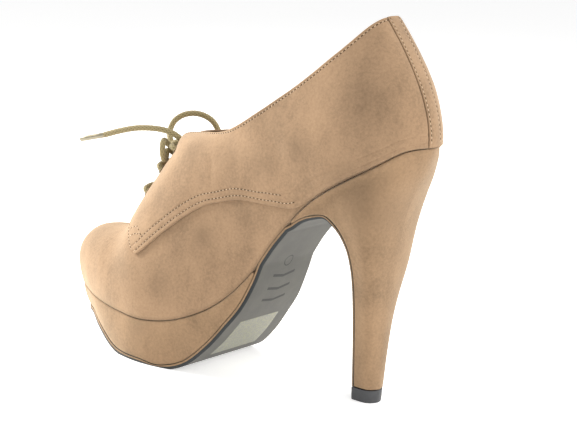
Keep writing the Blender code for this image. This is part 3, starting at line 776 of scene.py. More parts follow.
def floor_finish(name, colour):
    """Pale seamless floor."""
    finish = Finish(name)
    cloud = finish.noise(0.4, 2.0)
    finish.shade(
        Base_Color=finish.mix(cloud, scaled(colour, 0.99), colour),
        Roughness=0.8,
        Specular_IOR_Level=0.2,
        Emission_Color=(1.0, 1.0, 1.0),
        Emission_Strength=0.5,
    )
    return finish.material


# Modelling


def object_mode():
    """Leave edit mode with nothing selected."""
    if bpy.context.object and bpy.context.object.mode != "OBJECT":
        bpy.ops.object.mode_set(mode="OBJECT")
    bpy.ops.object.select_all(action="DESELECT")


def only(made):
    """Select this object alone and make it active."""
    object_mode()
    made.select_set(True)
    bpy.context.view_layer.objects.active = made


def corners_of(mesh):
    """Corners of a mesh as an array."""
    flat = np.zeros(len(mesh.vertices) * 3)
    mesh.vertices.foreach_get("co", flat)
    return flat.reshape(-1, 3)


def faces_of(mesh, key):
    """Centres or normals of a mesh's faces as an array."""
    flat = np.zeros(len(mesh.polygons) * 3)
    mesh.polygons.foreach_get(key, flat)
    return flat.reshape(-1, 3)


def set_corners(mesh, points):
    """Move the corners of a mesh."""
    mesh.vertices.foreach_set("co", np.asarray(points, np.float32).ravel())
    mesh.update()


def set_number(mesh, name, values):
    """Number held at each corner of a mesh."""
    held = mesh.attributes.new(name, "FLOAT", "POINT")
    held.data.foreach_set("value", np.asarray(values, np.float32))


def laid_grid(name, columns, rows, place, finishes, closed_ends=True, edge=None):
    """Grid primitive laid on a form: place gives a point for each column and row number.

    Where the first and last rows, or columns, fall on each other they are joined.
    """
    object_mode()
    bpy.ops.mesh.primitive_grid_add(x_subdivisions=columns, y_subdivisions=rows, size=1)
    made = bpy.context.object
    made.name = made.data.name = name
    flat = corners_of(made.data)
    column = np.rint((flat[:, 0] + 0.5) * columns).astype(int)
    row = np.rint((flat[:, 1] + 0.5) * rows).astype(int)
    set_corners(made.data, place(column, row))
    if edge is not None:
        set_number(made.data, "edge", edge(column, row))
    bpy.ops.object.mode_set(mode="EDIT")
    bpy.ops.mesh.select_all(action="SELECT")
    bpy.ops.mesh.remove_doubles(threshold=0.000004)
    bpy.ops.mesh.dissolve_degenerate(threshold=0.000001)
    if closed_ends:
        bpy.ops.mesh.select_all(action="SELECT")
        bpy.ops.mesh.fill_holes(sides=0)
    bpy.ops.mesh.select_all(action="SELECT")
    bpy.ops.mesh.normals_make_consistent(inside=False)
    object_mode()
    for finish in finishes:
        made.data.materials.append(finish)
    made.data.shade_smooth()
    made.data.set_sharp_from_angle(angle=math.radians(50))
    return made


def wall_section(face_rows, back_rows, radius, thick, fine):
    """Round-edged section of a panel as (share of its strap, metres added, depth) rows.

    It runs up the face, with close rows near both edges, over the top edge, down the back and
    under the lower edge to where it began.
    """
    near = np.linspace(radius, fine[0], fine[1])
    middle = np.linspace(0, 1, face_rows + 1)[1:-1]
    low = [(0, step, 0) for step in near]
    face = [(share, fine[0] * (1 - 2 * share), 0) for share in middle]
    high = [(1, -step, 0) for step in near[::-1]]
    angles = np.radians([30, 60, 90])
    over = [(1, -radius * (1 - math.sin(a)), radius * (1 - math.cos(a))) for a in angles]
    over += [(1, -radius * (1 - math.sin(a)), thick - radius * (1 - math.cos(a))) for a in angles[::-1]]
    shares = np.linspace(1, 0, back_rows + 1)
    behind = [(share, radius * (1 - 2 * share), thick) for share in shares]
    under = [(0, -row[1], row[2]) for row in over[::-1]]
    return np.array(low + face + high + over + behind + under + low[:1])


def side_creases(points, side):
    """Depth in metres of the creases that lie at points of one side."""
    depth = np.zeros(len(points))
    for crease in named(CREASE_COLUMNS, OUTER_CREASES if side > 0 else INNER_CREASES):
        angle = math.radians(crease["slant"])
        dx, dz = points[:, 0] - crease["x"], points[:, 2] - crease["z"]
        run = dx * math.cos(angle) + dz * math.sin(angle)
        off = -dx * math.sin(angle) + dz * math.cos(angle) + 12 * run ** 2
        fall = (off / crease["width"]) ** 2 + (run / crease["length"] * 2) ** 2
        depth += crease["depth"] * np.exp(-fall)
    return depth


def nap_and_shade_patches(points, side):
    """Strength of the darker patches at points of both sides: nap mottling, and a painted shade on the heel."""
    strength = np.zeros(len(points))
    for sign, rows in ((1, OUTER_PATCHES), (-1, INNER_PATCHES)):
        there = np.asarray(side) * np.ones(len(points)) * sign > 0
        for patch in named(PATCH_COLUMNS, rows):
            far = np.hypot(points[:, 0] - patch["x"], points[:, 2] - patch["z"]) / patch["radius"]
            strength += np.where(there, patch["strength"] * np.exp(-far ** 2), 0)
    return strength


def softness(points, size, height):
    """Small rise and fall of stretched suede at points."""
    return height * np.array([noise.noise(Vector(point) / size) for point in points])


def stay_softness(points):
    """Rise and fall of the backstay's suede at points."""
    return softness(points, 0.012, 0.00012)


def suede_relief(points, side):
    """Height in metres that the suede adds at points of its skin."""
    creases = np.where(np.asarray(side) > 0, side_creases(points, 1), side_creases(points, -1))
    return softness(points, 0.016, 0.00022) + softness(points, 0.006, 0.00006) - creases


def quarter_spots(side, knot, share):
    """Places and rises of a quarter at knots of its table and shares of its straps."""
    low_place, low_rise, high_place, high_rise = eased(range(len(QUARTER_ROWS)), QUARTER_ROWS, knot).T
    rise = low_rise + share * (high_rise - low_rise)
    stay_edge = place_at_width(np.clip(rise, 0, 1), BACKSTAY_WIDTH / 2 + 2 * CLEARANCE)
    place = np.minimum(low_place + share * (high_place - low_place), stay_edge)
    return place, rise * open_rise(place, side)


def strap_lengths(side, knots):
    """Lengths of a quarter's straps at knots of its table."""
    steps = np.linspace(0, 1, 25)
    lengths = []
    for knot in knots:
        place, rise = quarter_spots(side, np.full(len(steps), knot), steps)
        line = skin(turn_of(place, side), rise)
        lengths.append(np.linalg.norm(np.diff(line, axis=0), axis=1).sum())
    return np.array(lengths)


def quarter_points(side, knot, share, height):
    """Points over a quarter's skin and their normals."""
    place, rise = quarter_spots(side, knot, share)
    turn = turn_of(place, side)
    base = skin(turn, rise)
    normal = skin_normal(turn, rise)
    return base + np.asarray(height)[..., None] * normal, normal


def seam_troughs(distance, insets, width, depth):
    """Depth in metres of the dents that rows of stitches pull at distances from an edge."""
    return sum(depth * np.exp(-((distance - inset) / width) ** 2) for inset in insets)


def sizes():
    """Sizes that the sidebar shows."""
    return bpy.context.scene.shoe_sizes


def colour_of(name):
    """One of the colours that the sidebar shows."""
    return tuple(getattr(bpy.context.scene.shoe_colours, name))


def shared(name, maker, *values):
    """Material made once and used by several pieces."""
    found = bpy.data.materials.get(name)
    return found if found else maker(name, *values)


def suede():
    """Suede of the upper."""
    return shared("suede_upper", suede_finish, colour_of("suede"))


def heel_suede():
    """Suede of the heel and platform."""
    return shared("suede_heel", suede_finish, colour_of("heel_suede"), 0.25)


def lining():
    """Lining of the upper, the tongue's back and the insole."""
    return shared("lining_leather", lining_finish, colour_of("lining"))


def braided(name, line, finish):
    """Round braid along a line of points, with its weave modelled."""
    settings = sizes()
    sides = 56
    pitch = settings.lace_pitch
    strands = settings.lace_strands
    radius = LACE_WIDTH / 2
    line = np.asarray(line, float)
    run = run_along(line)
    count = int(run[-1] / (pitch / 16))
    stations = np.linspace(0, run[-1], count)
    path = between(stations, run, line)
    ways = unit(np.gradient(path, axis=0))
    across = Vector(ways[0]).orthogonal().normalized()
    spokes = []
    for before, after in zip([ways[0], *ways[:-1]], ways):
        across = Vector(before).rotation_difference(Vector(after)) @ across
        spokes.append(np.array(across))
    spokes = unit(np.array(spokes))
    beside = np.cross(ways, spokes)
    angles = np.linspace(0, 2 * math.pi, sides, endpoint=False)
    turn = angles[None, :] / (2 * math.pi) * strands
    slide = stations[:, None] / pitch
    first, second = turn + slide, turn - slide
    over = (np.floor(first) + np.floor(second)) % 2
    first_ridge, second_ridge = (np.sin(math.pi * (way % 1)) ** 0.7 for way in (first, second))
    upper_ridge = np.where(over > 0, first_ridge, second_ridge)
    ridge = upper_ridge * 0.75 + 0.25 * np.maximum(first_ridge, second_ridge)
    ends = np.minimum(stations, run[-1] - stations)[:, None] / radius
    rounding = np.sqrt(np.clip(1 - np.clip(1 - ends, 0, 1) ** 2, 0.02, 1))
    radii = radius * (1.03 + 0.17 * ridge) * rounding
    points = (
        path[:, None]
        + (radii * np.cos(angles))[..., None] * spokes[:, None]
        + (radii * np.sin(angles))[..., None] * beside[:, None]
    ).reshape(-1, 3)
    faces = []
    for ring in range(count - 1):
        here = ring * sides
        for side in range(sides):
            after = (side + 1) % sides
            faces.append((here + side, here + after, here + sides + after, here + sides + side))
    faces.append(tuple(range(sides - 1, -1, -1)))
    faces.append(tuple(range((count - 1) * sides, count * sides)))
    made = from_shape(name, points.tolist(), faces)
    set_number(made.data, "weave", ridge.ravel())
    made.data.materials.append(finish)
    return made, path


def smooth_route(points, spacing=0.0006):
    """Points along a smooth curve through a route, about evenly spaced."""
    route = np.array(points, float)
    knots = run_along(route)
    return eased(knots, route, np.linspace(0, knots[-1], max(int(knots[-1] / spacing), 4)))


def turned(name, profile, steps, finish):
    """Piece turned about +Z from a closed profile of (radius, height) points, drawn by extrusion."""
    object_mode()
    bpy.ops.mesh.primitive_plane_add(size=0.001)
    made = bpy.context.object
    made.name = made.data.name = name
    bpy.ops.object.mode_set(mode="EDIT")
    bpy.ops.mesh.select_all(action="SELECT")
    bpy.ops.mesh.merge(type="CENTER")
    bpy.ops.transform.translate(value=(profile[0][0], 0, profile[0][1]))
    for (radius, height), (next_radius, next_height) in zip(profile, profile[1:] + profile[:1]):
        step = (next_radius - radius, 0, next_height - height)
        bpy.ops.mesh.extrude_vertices_move(TRANSFORM_OT_translate={"value": step})
    bpy.ops.mesh.select_all(action="SELECT")
    bpy.ops.mesh.remove_doubles(threshold=0.00001)
    bpy.ops.mesh.select_all(action="SELECT")
    bpy.ops.mesh.spin(steps=steps, angle=2 * math.pi, center=(0, 0, 0), axis=(0, 0, 1))
    bpy.ops.mesh.select_all(action="SELECT")
    bpy.ops.mesh.remove_doubles(threshold=0.00001)
    bpy.ops.mesh.normals_make_consistent(inside=False)
    object_mode()
    made.data.materials.append(finish)
    return made


def finished(made, *modifiers):
    """Piece with modifiers added and applied, each given as (kind, settings)."""
    only(made)
    for kind, settings in modifiers:
        added = made.modifiers.new(kind.title(), kind)
        for key, value in settings.items():
            setattr(added, key, value)
        bpy.ops.object.modifier_apply(modifier=added.name)
    made.data.shade_smooth()
    made.data.set_sharp_from_angle(angle=math.radians(50))
    return made


def set_down(made, turn, place):
    """Turn and move a finished shape's corners, so that its object stays at the origin."""
    made.data.transform(Matrix.Translation(Vector(place)) @ turn.to_4x4())
    return made


def facing(way):
    """Turn that points +Z along a way."""
    return Vector(way).to_track_quat("Z", "Y").to_matrix()


def resampled(points, normals, pitch):
    """Points, ways and normals at an even pitch along a line."""
    run = run_along(points)
    count = max(int(run[-1] / pitch), 1)
    stations = (np.arange(count) + 0.5) * run[-1] / count
    ways = unit(between(stations, run, np.gradient(points, run, axis=0)))
    return between(stations, run, points), ways, unit(between(stations, run, normals))


def from_shape(name, points, faces):
    """New smooth piece from corners and faces."""
    mesh = bpy.data.meshes.new(name)
    mesh.from_pydata(points, [], faces)
    mesh.shade_smooth()
    made = bpy.data.objects.new(name, mesh)
    bpy.context.collection.objects.link(made)
    return made


def stitch_shape():
    """Corners and faces of one stitch of unit size along X; the needle hole behind it takes the same shape."""
    object_mode()
    bpy.ops.mesh.primitive_uv_sphere_add(segments=8, ring_count=6, radius=0.5)
    stitch = bpy.context.object
    bpy.ops.object.mode_set(mode="EDIT")
    bpy.ops.mesh.select_all(action="SELECT")
    bpy.ops.transform.resize(value=(1, 1, 0.8))
    object_mode()
    points = corners_of(stitch.data)
    faces = [tuple(face.vertices) for face in stitch.data.polygons]
    bpy.data.objects.remove(stitch)
    return points, faces


def stitched(name, rows, thread, hole):
    """Rows of stitches as one piece: each row is (points, normals) along its seam."""
    settings = sizes()
    pitch, length, width = settings.stitch_pitch, settings.stitch_length, settings.stitch_width
    parts = (
        (np.array([length, width, width]), 0.25 * width, 0.0, 0),
        (np.array([settings.hole_length, width * 1.4, width * 0.7]), 0.02 * width, pitch / 2, 1),
    )
    points, faces = stitch_shape()
    corners, polygons, slots = [], [], []
    for line, normals in rows:
        spots, ways, outs = resampled(line, normals, pitch)
        for spot, way, out in zip(spots, ways, outs):
            axes = np.stack([unit(way), unit(np.cross(out, way)), out])
            for size, height, slide, slot in parts:
                start = len(corners)
                shape = (points * size) @ axes + spot + height * out + slide * way
                corners.extend(shape.tolist())
                polygons.extend(tuple(start + corner for corner in face) for face in faces)
                slots.extend([slot] * len(faces))
    made = from_shape(name, corners, polygons)
    made.data.materials.append(thread)
    made.data.materials.append(hole)
    made.data.polygons.foreach_set("material_index", slots)
    return made


def eyelet_spot(place, side):
    """Centre of an eyelet on the quarter's face, and the way out of it."""
    rise = rise_at_width(place, side, THROAT_GAP / 2 + EYELET_SET)
    turn = turn_of(place, side)
    return lifted(turn, rise, OVERLAY_GAP + QUARTER_THICK), skin_normal(turn, rise)


def punched(made, side_list, radius):
    """Faces cut away where eyelets pass, and the cut's edge drawn to a round."""
    through = 0.006
    inner_share, outer_share, cut_share = 0.55, 1.35, 0.93
    for side in side_list:
        for place in EYELET_PLACES:
            centre, way = eyelet_spot(place, side)
            points = corners_of(made.data)
            away = points - centre
            up = away @ way
            flat = away - up[:, None] * way
            far = np.linalg.norm(flat, axis=1)
            pull = (np.abs(up) < through) & (far > radius * inner_share) & (far < radius * outer_share)
            share = radius / far[pull]
            points[pull] = centre + flat[pull] * share[:, None] + up[pull][:, None] * way
            set_corners(made.data, points)
            only(made)
            bpy.ops.object.mode_set(mode="EDIT")
            bpy.ops.mesh.select_mode(type="FACE")
            bpy.ops.mesh.select_all(action="DESELECT")
            bpy.ops.object.mode_set(mode="OBJECT")
            centres = faces_of(made.data, "center") - centre
            rise = centres @ way
            wide = np.linalg.norm(centres - rise[:, None] * way, axis=1)
            cut = (np.abs(rise) < through) & (wide < radius * cut_share)
            made.data.polygons.foreach_set("select", cut)
            bpy.ops.object.mode_set(mode="EDIT")
            bpy.ops.mesh.delete(type="FACE")
            bpy.ops.mesh.select_mode(type="VERT")
            object_mode()
    return made


def length_property(name, description, default, low, high):
    """Length of a detail, with its limits."""
    return FloatProperty(
        name=name, description=description, default=default, min=low, max=high, unit="LENGTH",
    )


class ShoeSizes(bpy.types.PropertyGroup):
    """Sizes of the seams, laces and soles' trim."""

    stitch_pitch: length_property(
        "Stitch pitch", "Distance from one stitch to the next", 0.0023, 0.0008, 0.005,
    )
    stitch_length: length_property(
        "Stitch length", "Length of the thread that shows in each stitch", 0.0012, 0.0005, 0.004,
    )
    hole_length: length_property(
        "Hole length", "Length of the dark gap between two stitches", 0.00125, 0.0002, 0.003,
    )
    stitch_width: length_property(
        "Thread width", "Width of the sewing thread", 0.00036, 0.0001, 0.001,
    )
    top_inset: length_property(
        "Top line inset", "Distance of the stitches from the top line and facings", 0.0019, 0.001, 0.005,
    )
    low_inset: length_property(
        "Lower seam inset", "Distance of the first row from the quarter's lower edge",
        0.0023, 0.001, 0.005,
    )
    row_spacing: length_property(
        "Row spacing", "Distance between the quarter's two lower rows", 0.0036, 0.001, 0.008,
    )
    seam_depth: length_property(
        "Seam depth", "Depth of the dent that a row of stitches pulls", 0.0002, 0.0, 0.0005,
    )
    lace_pitch: length_property(
        "Braid pitch", "Length of one step of the lace's braid", 0.0024, 0.0008, 0.005,
    )
    lace_strands: IntProperty(
        name="Braid strands", description="Strands that cross the lace's face in each direction",
        default=6, min=4, max=16,
    )
    sole_margin: length_property(
        "Sole margin", "Width of the narrow margin round the sole's underside", 0.0009, 0.0, 0.004,
    )


def colour_property(name, description, default):
    """Colour of a finish."""
    return FloatVectorProperty(
        name=name, description=description, default=default, subtype="COLOR", size=3, min=0, max=1,
    )


class ShoeColours(bpy.types.PropertyGroup):
    """Colours of the shoe's materials."""

    suede: colour_property("Suede", "Upper and quarters", (0.305, 0.198, 0.118))
    heel_suede: colour_property("Heel suede", "Heel and platform cover", (0.272, 0.176, 0.102))
    lining: colour_property("Lining", "Lining and insole", (0.50, 0.36, 0.24))
    sole: colour_property("Sole", "Underside of the sole", (0.100, 0.097, 0.085))
    sole_edge: colour_property("Sole edge", "Dark edge of the sole", (0.012, 0.016, 0.018))
    sole_print: colour_property("Sole print", "Plain printed marks", (0.035, 0.035, 0.032))
    patch: colour_property("Patch", "Pale crinkled patch", (0.225, 0.225, 0.195))
    vein: colour_property("Patch veins", "Fine veins of the patch", (0.36, 0.345, 0.19))
    lift: colour_property("Top lift", "Rubber under the heel", (0.05, 0.052, 0.056))
    lace_light: colour_property("Lace light", "Strands of the lace", (0.30, 0.245, 0.125))
    # Painted shade: the braid's gaps coloured darker than its strands
    lace_gap_shade: colour_property("Lace dark", "Gaps of the lace's braid", (0.060, 0.046, 0.020))
    thread: colour_property("Thread", "Sewing thread", (0.62, 0.47, 0.32))
    hole: colour_property("Needle holes", "Shadowed holes between the stitches", (0.06, 0.04, 0.025))
    aglet: colour_property("Aglet", "Lace tip", (0.33, 0.30, 0.225))
    eyelet: colour_property("Eyelets", "Aged eyelet metal", (0.17, 0.135, 0.08))
    floor: colour_property("Floor", "Pale floor", (0.86, 0.86, 0.86))


class SHOE_OT_stage(bpy.types.Operator):
    """Add the floor, the lights and the camera at the photograph's angle"""

    bl_idname = "shoe.stage"
    bl_label = "Stage"

    def execute(self, context):
        self.add_floor()
        self.add_lights(context)
        self.add_camera(context)
        return {"FINISHED"}

    def add_floor(self):
        """Flat floor, eight metres wide, under the shoe."""
        object_mode()
        bpy.ops.mesh.primitive_grid_add(x_subdivisions=8, y_subdivisions=8, size=8, location=(0, 0, 0))
        floor = bpy.context.object
        floor.name = floor.data.name = "stage_floor"
        floor.data.materials.append(floor_finish("floor_paper", colour_of("floor")))

    def add_lights(self, context):
        """Even light all round with soft lamps above both sides."""
        world = context.scene.world or bpy.data.worlds.new("World")
        context.scene.world = world
        world.use_nodes = True
        background = world.node_tree.nodes["Background"]
        background.inputs["Color"].default_value = (1.0, 1.0, 1.0, 1)
        background.inputs["Strength"].default_value = 0.52
        lamps = (
            ("lamp_toe", (1.00, 0.10, 0.45), 0.5, 26.0, (1.0, 0.96, 0.88)),
            ("lamp_fill", (-0.95, 0.75, 0.75), 1.0, 6.0, (1.0, 0.99, 0.97)),
            ("lamp_heel", (-0.85, -0.40, 0.50), 0.6, 5.0, (1.0, 0.96, 0.90)),
            ("lamp_above", (-0.1, -0.25, 1.2), 0.9, 6.0, (1.0, 1.0, 1.0)),
        )
        for name, place, size, power, colour in lamps:
            object_mode()
            bpy.ops.object.light_add(type="AREA", location=place)
            lamp = bpy.context.object
            lamp.name = lamp.data.name = name
            lamp.data.size = size
            lamp.data.energy = power
            lamp.data.color = colour
            aim = Vector(VIEW_TARGET) - Vector(place)
            lamp.rotation_euler = aim.to_track_quat("-Z", "Y").to_euler()

    def add_camera(self, context):
        """Camera at the photograph's angle, distance and roll."""
        turn, rise, roll = (math.radians(angle) for angle in (VIEW_TURN, VIEW_RISE, VIEW_ROLL))
        level = math.cos(rise)
        back = Vector((-math.sin(turn) * level, math.cos(turn) * level, math.sin(rise)))
        right = (-back).cross(Vector((0, 0, 1))).normalized()
        up = right.cross(-back)
        rolled_right = math.cos(roll) * right + math.sin(roll) * up
        rolled_up = -math.sin(roll) * right + math.cos(roll) * up
        object_mode()
        bpy.ops.object.camera_add(location=Vector(VIEW_TARGET) + VIEW_DISTANCE * back)
        camera = bpy.context.object
        camera.name = "photo_camera"
        axes = Matrix((rolled_right, rolled_up, back)).transposed()
        camera.rotation_euler = axes.to_euler()
        camera.data.sensor_width = SENSOR
        camera.data.lens = SENSOR * VIEW_FOCAL / PHOTO_SIZE[0]
        camera.data.clip_start = 0.01
        context.scene.camera = camera
        context.scene.view_settings.view_transform = "Standard"


class SHOE_OT_laces(bpy.types.Operator):
    """Add the braided lace: bars, knot, loops and the free end with its aglet"""

    bl_idname = "shoe.laces"
    bl_label = "Laces"

    def execute(self, context):
        finish = lace_finish("lace_braid", colour_of("lace_light"), colour_of("lace_gap_shade"))
        self.add_bars(finish)
        self.add_tails(finish)
        knot = self.add_knot(finish)
        aglet = self.add_aglet(metal_finish("aglet_metal", colour_of("aglet"), 0.42))
        self.add_free_cords(finish, knot, aglet)
        return {"FINISHED"}

    def add_bars(self, finish):
        """Bars across the throat, down through their eyelets at both ends."""
        rest = OVERLAY_GAP + QUARTER_THICK + 2 * CLEARANCE + EYELET_RIM + LACE_WIDTH / 2
        reach = THROAT_GAP / 2 + EYELET_SET
        for number, place in enumerate(EYELET_PLACES[:2], 1):
            across = []
            for share in np.linspace(-0.86, 0.86, 9):
                side = 1 if share >= 0 else -1
                rise = rise_at_width(place, side, abs(share) * reach)
                height = np.array(rest + BAR_BOW * (1 - share ** 2))
                across.append(lifted(turn_of(place, side), rise, height))
            across[4][1] = 0
            inner, inner_way = eyelet_spot(place, -1)
            outer, outer_way = eyelet_spot(place, 1)
            route = (
                [inner + step * inner_way for step in (-0.0024, -0.0008, 0.0010)]
                + across
                + [outer + step * outer_way for step in (0.0010, -0.0008, -0.0024)]
            )
            bar, _ = braided(f"lace_bar_braid_{number}", smooth_route(route), finish)
            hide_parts(f"lace_bar_{number}")
            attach(bar, "root")

    def add_tails(self, finish):
        """Short runs from the top eyelets into the knot."""
        for label, side in (("outer", 1), ("inner", -1)):
            centre, way = eyelet_spot(EYELET_PLACES[2], side)
            knot = np.array(Vector(KNOT_CENTRE))
            toward = unit(knot - centre)
            steps = ((-0.0024, 0), (-0.0008, 0), (0.0012, 0.0002), (0.0026, 0.0018), (0.0030, 0.0046))
            route = [centre + up * way + along * toward for up, along in steps]
            route += [knot - 0.0030 * toward, knot]
            tail, _ = braided(f"lace_tail_{label}", smooth_route(route), finish)
            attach(tail, "root")

    def add_knot(self, finish):
        """Knot of two crossed turns of lace round the loops' necks."""
        centre = np.array(KNOT_CENTRE)
        out = unit(np.array([0.62, 0.05, 0.78]))
        beside = unit(np.cross(out, [0.0, 1.0, 0.0]))
        across = np.cross(beside, out)
        parts = []
        points_round = 60
        # Tilt, radius, first and last angle and pitch of each turn
        turns = ((-18, 0.0034, -170, 220, 0.0034), (24, 0.0031, 10, 340, -0.0030))
        for number, (tilt, turn_radius, start, end, pitch) in enumerate(turns, 1):
            angle = math.radians(tilt)
            axis = math.cos(angle) * across + math.sin(angle) * beside
            flat = unit(np.cross(axis, out))
            steps = np.radians(np.linspace(start, end, points_round))
            tucked = np.clip((np.abs(np.linspace(-1, 1, points_round)) - 0.75) / 0.25, 0, 1)
            radius = turn_radius * (1 - 0.6 * tucked ** 2)
            slide = (steps - steps.mean()) / (2 * math.pi) * pitch
            route = (
                centre + slide[:, None] * axis
                + (radius * np.cos(steps))[:, None] * out + (radius * np.sin(steps))[:, None] * flat
            )
            part, _ = braided(f"lace_knot_turn_{number}", route, finish)
            parts.append(part)
        core = np.linspace(-0.0040, 0.0040, 12)[:, None] * across + centre
        part, _ = braided("lace_knot_core", core, finish)
        parts.append(part)
        only(parts[0])
        for part in parts:
            part.select_set(True)
        bpy.ops.object.join()
        knot = bpy.context.object
        knot.name = knot.data.name = "lace_knot_braid"
        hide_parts("lace_knot")
        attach(knot, "root")
        return knot

    def add_aglet(self, finish):
        """Metal tip, open at its end."""
        start, end = np.array(AGLET[0]), np.array(AGLET[1])
        length = np.linalg.norm(end - start)
        radius, wall = AGLET_WIDTH / 2, 0.0003
        profile = [
            (radius - wall, 0), (radius, 0), (radius, 0.3 * length), (radius, 0.7 * length),
            (radius, length), (radius - wall, length),
        ]
        aglet = turned("lace_aglet_tip", profile, 36, finish)
        finished(aglet, ("BEVEL", {"width": 0.00006, "segments": 2, "limit_method": "ANGLE"}))
        set_down(aglet, facing(end - start), start)
        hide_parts("lace_aglet")
        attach(aglet, "root")
        return aglet

    def add_free_cords(self, finish, knot, aglet):
        """Both loops and the free end, as braids along their routes."""
        centre = Vector(KNOT_CENTRE)
        core = tuple(centre)
        tip = Vector(AGLET[0]).lerp(Vector(AGLET[1]), 0.06)
        runs = (
            ("lace_loop_inner", [core, *INNER_LOOP, core], "object", ()),
            ("lace_loop_outer", [core, *OUTER_LOOP, core], "object", ()),
            ("lace_end", [core, *LACE_END, tuple(tip)], "fitting", (aglet, knot)),
        )
        for node, route, far_end, with_pieces in runs:
            piece, path = braided(f"{node}_braid", smooth_route(route), finish)
            length = float(np.linalg.norm(np.diff(path, axis=0), axis=1).sum())
            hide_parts(node)
            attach(piece, "root")


class SHOE_OT_upper(bpy.types.Operator):
    """Add the lined upper, open at the collar, the throat and underneath"""

    bl_idname = "shoe.upper"
    bl_label = "Upper"

    def execute(self, context):
        run = places([0.0, (3.0, 90), (5.0, 50), (9.0, 110), (10.0, 30), (12.0, 50), (14.0, 60)])
        turns = np.concatenate([run, LOOP - run[-2::-1]])
        sides = np.concatenate([np.ones(len(run)), -np.ones(len(run) - 1)])
        spots = np.where(turns > BACK, LOOP - turns, turns)
        tops = np.where(sides > 0, open_rise(spots, 1), open_rise(spots, -1))
        steps = np.linspace(0, 1, 31)
        lines = skin(turns[:, None], tops[:, None] * steps[None, :])
        lengths = np.linalg.norm(np.diff(lines, axis=1), axis=2).sum(axis=1)
        section = wall_section(52, 22, 0.00055, WALL, (0.0022, 6))

        def shares(column, row):
            base, extra, depth = section[row].T
            return np.clip(base + extra / lengths[column], 0, 1), depth

        def place(column, row):
            share, depth = shares(column, row)
            rise = share * tops[column]
            turn = turns[column]
            points = skin(turn, rise)
            relief = suede_relief(points, sides[column])
            fade = np.clip(share * lengths[column] / 0.004, 0, 1)
            height = relief * fade * (1 - depth / WALL) - depth + corner_lift(points)
            return points + height[:, None] * skin_normal(turn, rise)

        def edge(column, row):
            share, _ = shares(column, row)
            near = share * lengths[column]
            patches = nap_and_shade_patches(skin(turns[column], share * tops[column]), sides[column])
            # Painted shade in a narrow band along the lower edge where the upper meets the platform, plus the
            # darker patches
            return np.exp(-(near / 0.0012) ** 2) * 0.8 + patches

        upper = laid_grid(
            "upper_suede", len(turns) - 1, len(section) - 1, place, [suede(), lining()],
            closed_ends=False, edge=edge,
        )
        line_inside(upper)
        punched(upper, (1, -1), EYELET_BORE / 2 + EYELET_WALL + CLEARANCE)
        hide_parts("upper")
        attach(upper, "root")
        return {"FINISHED"}


def line_inside(made):
    """Second material on the faces that look toward the middle of the shoe."""
    centres, normals = faces_of(made.data, "center"), faces_of(made.data, "normal")
    along = centres[:, 0]
    middle = np.stack([
        np.clip(along, -0.09, 0.05),
        np.zeros(len(along)),
        np.interp(along, [-0.14, -0.06, 0.0, 0.09], [0.165, 0.13, 0.06, 0.035]),
    ], axis=1)
    inward = (normals * (middle - centres)).sum(axis=1) > 0
    made.data.polygons.foreach_set("material_index", inward.astype(np.int32))
    made.data.update()


class SHOE_OT_quarters(bpy.types.Operator):
    """Add the two quarter panels, dented along their rows of stitches"""

    bl_idname = "shoe.quarters"
    bl_label = "Quarters"

    def execute(self, context):
        for label, side in (("outer", 1), ("inner", -1)):
            self.add_quarter(label, side)
        return {"FINISHED"}

    def add_quarter(self, label, side):
        """Panel laid over the upper from its tip on the vamp to the backstay."""
        settings = sizes()
        knots = places([0.0, (7.0, 210), (len(QUARTER_ROWS) - 1, 250)])
        if side < 0:
            knots = knots[::-1]
        lengths = strap_lengths(side, knots)
        section = wall_section(34, 10, 0.00045, QUARTER_THICK, (0.0078, 26))
        outside = OVERLAY_GAP + QUARTER_THICK
        narrowest = 0.0162
        rows = (settings.low_inset, settings.low_inset + settings.row_spacing)
        trough, dent = 0.0005, settings.seam_depth

        def shares(column, row):
            base, extra, depth = section[row].T
            length = lengths[column]
            tight = np.minimum(1, length / narrowest)
            return np.clip(base + tight * extra / length, 0, 1), depth, length

        def place(column, row):
            share, depth, length = shares(column, row)
            points, normal = quarter_points(side, knots[column], share, np.zeros(len(share)))
            relief = suede_relief(points, np.full(len(share), side))
            relief -= seam_troughs(share * length, rows, trough, dent)
            relief -= seam_troughs((1 - share) * length, (settings.top_inset,), trough, dent)
            height = outside - depth + relief * (1 - depth / QUARTER_THICK) + corner_lift(points)
            return points + height[:, None] * normal

        def edge(column, row):
            share, depth, length = shares(column, row)
            points, _ = quarter_points(side, knots[column], share, np.zeros(len(share)))
            # Painted shade on the cut edges and back of the panel, and along its lower edge
            rim_shade = np.clip(depth / QUARTER_THICK, 0, 1) * 0.8
            rim_shade += 0.25 * np.exp(-(share * length / 0.0006) ** 2)
            return rim_shade + nap_and_shade_patches(points, side)

        quarter = laid_grid(
            f"quarter_{label}_suede", len(knots) - 1, len(section) - 1, place, [suede()], edge=edge,
        )
        punched(quarter, (side,), EYELET_BORE / 2 + EYELET_WALL + CLEARANCE)
        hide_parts(f"quarter_{label}")
        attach(quarter, "root")


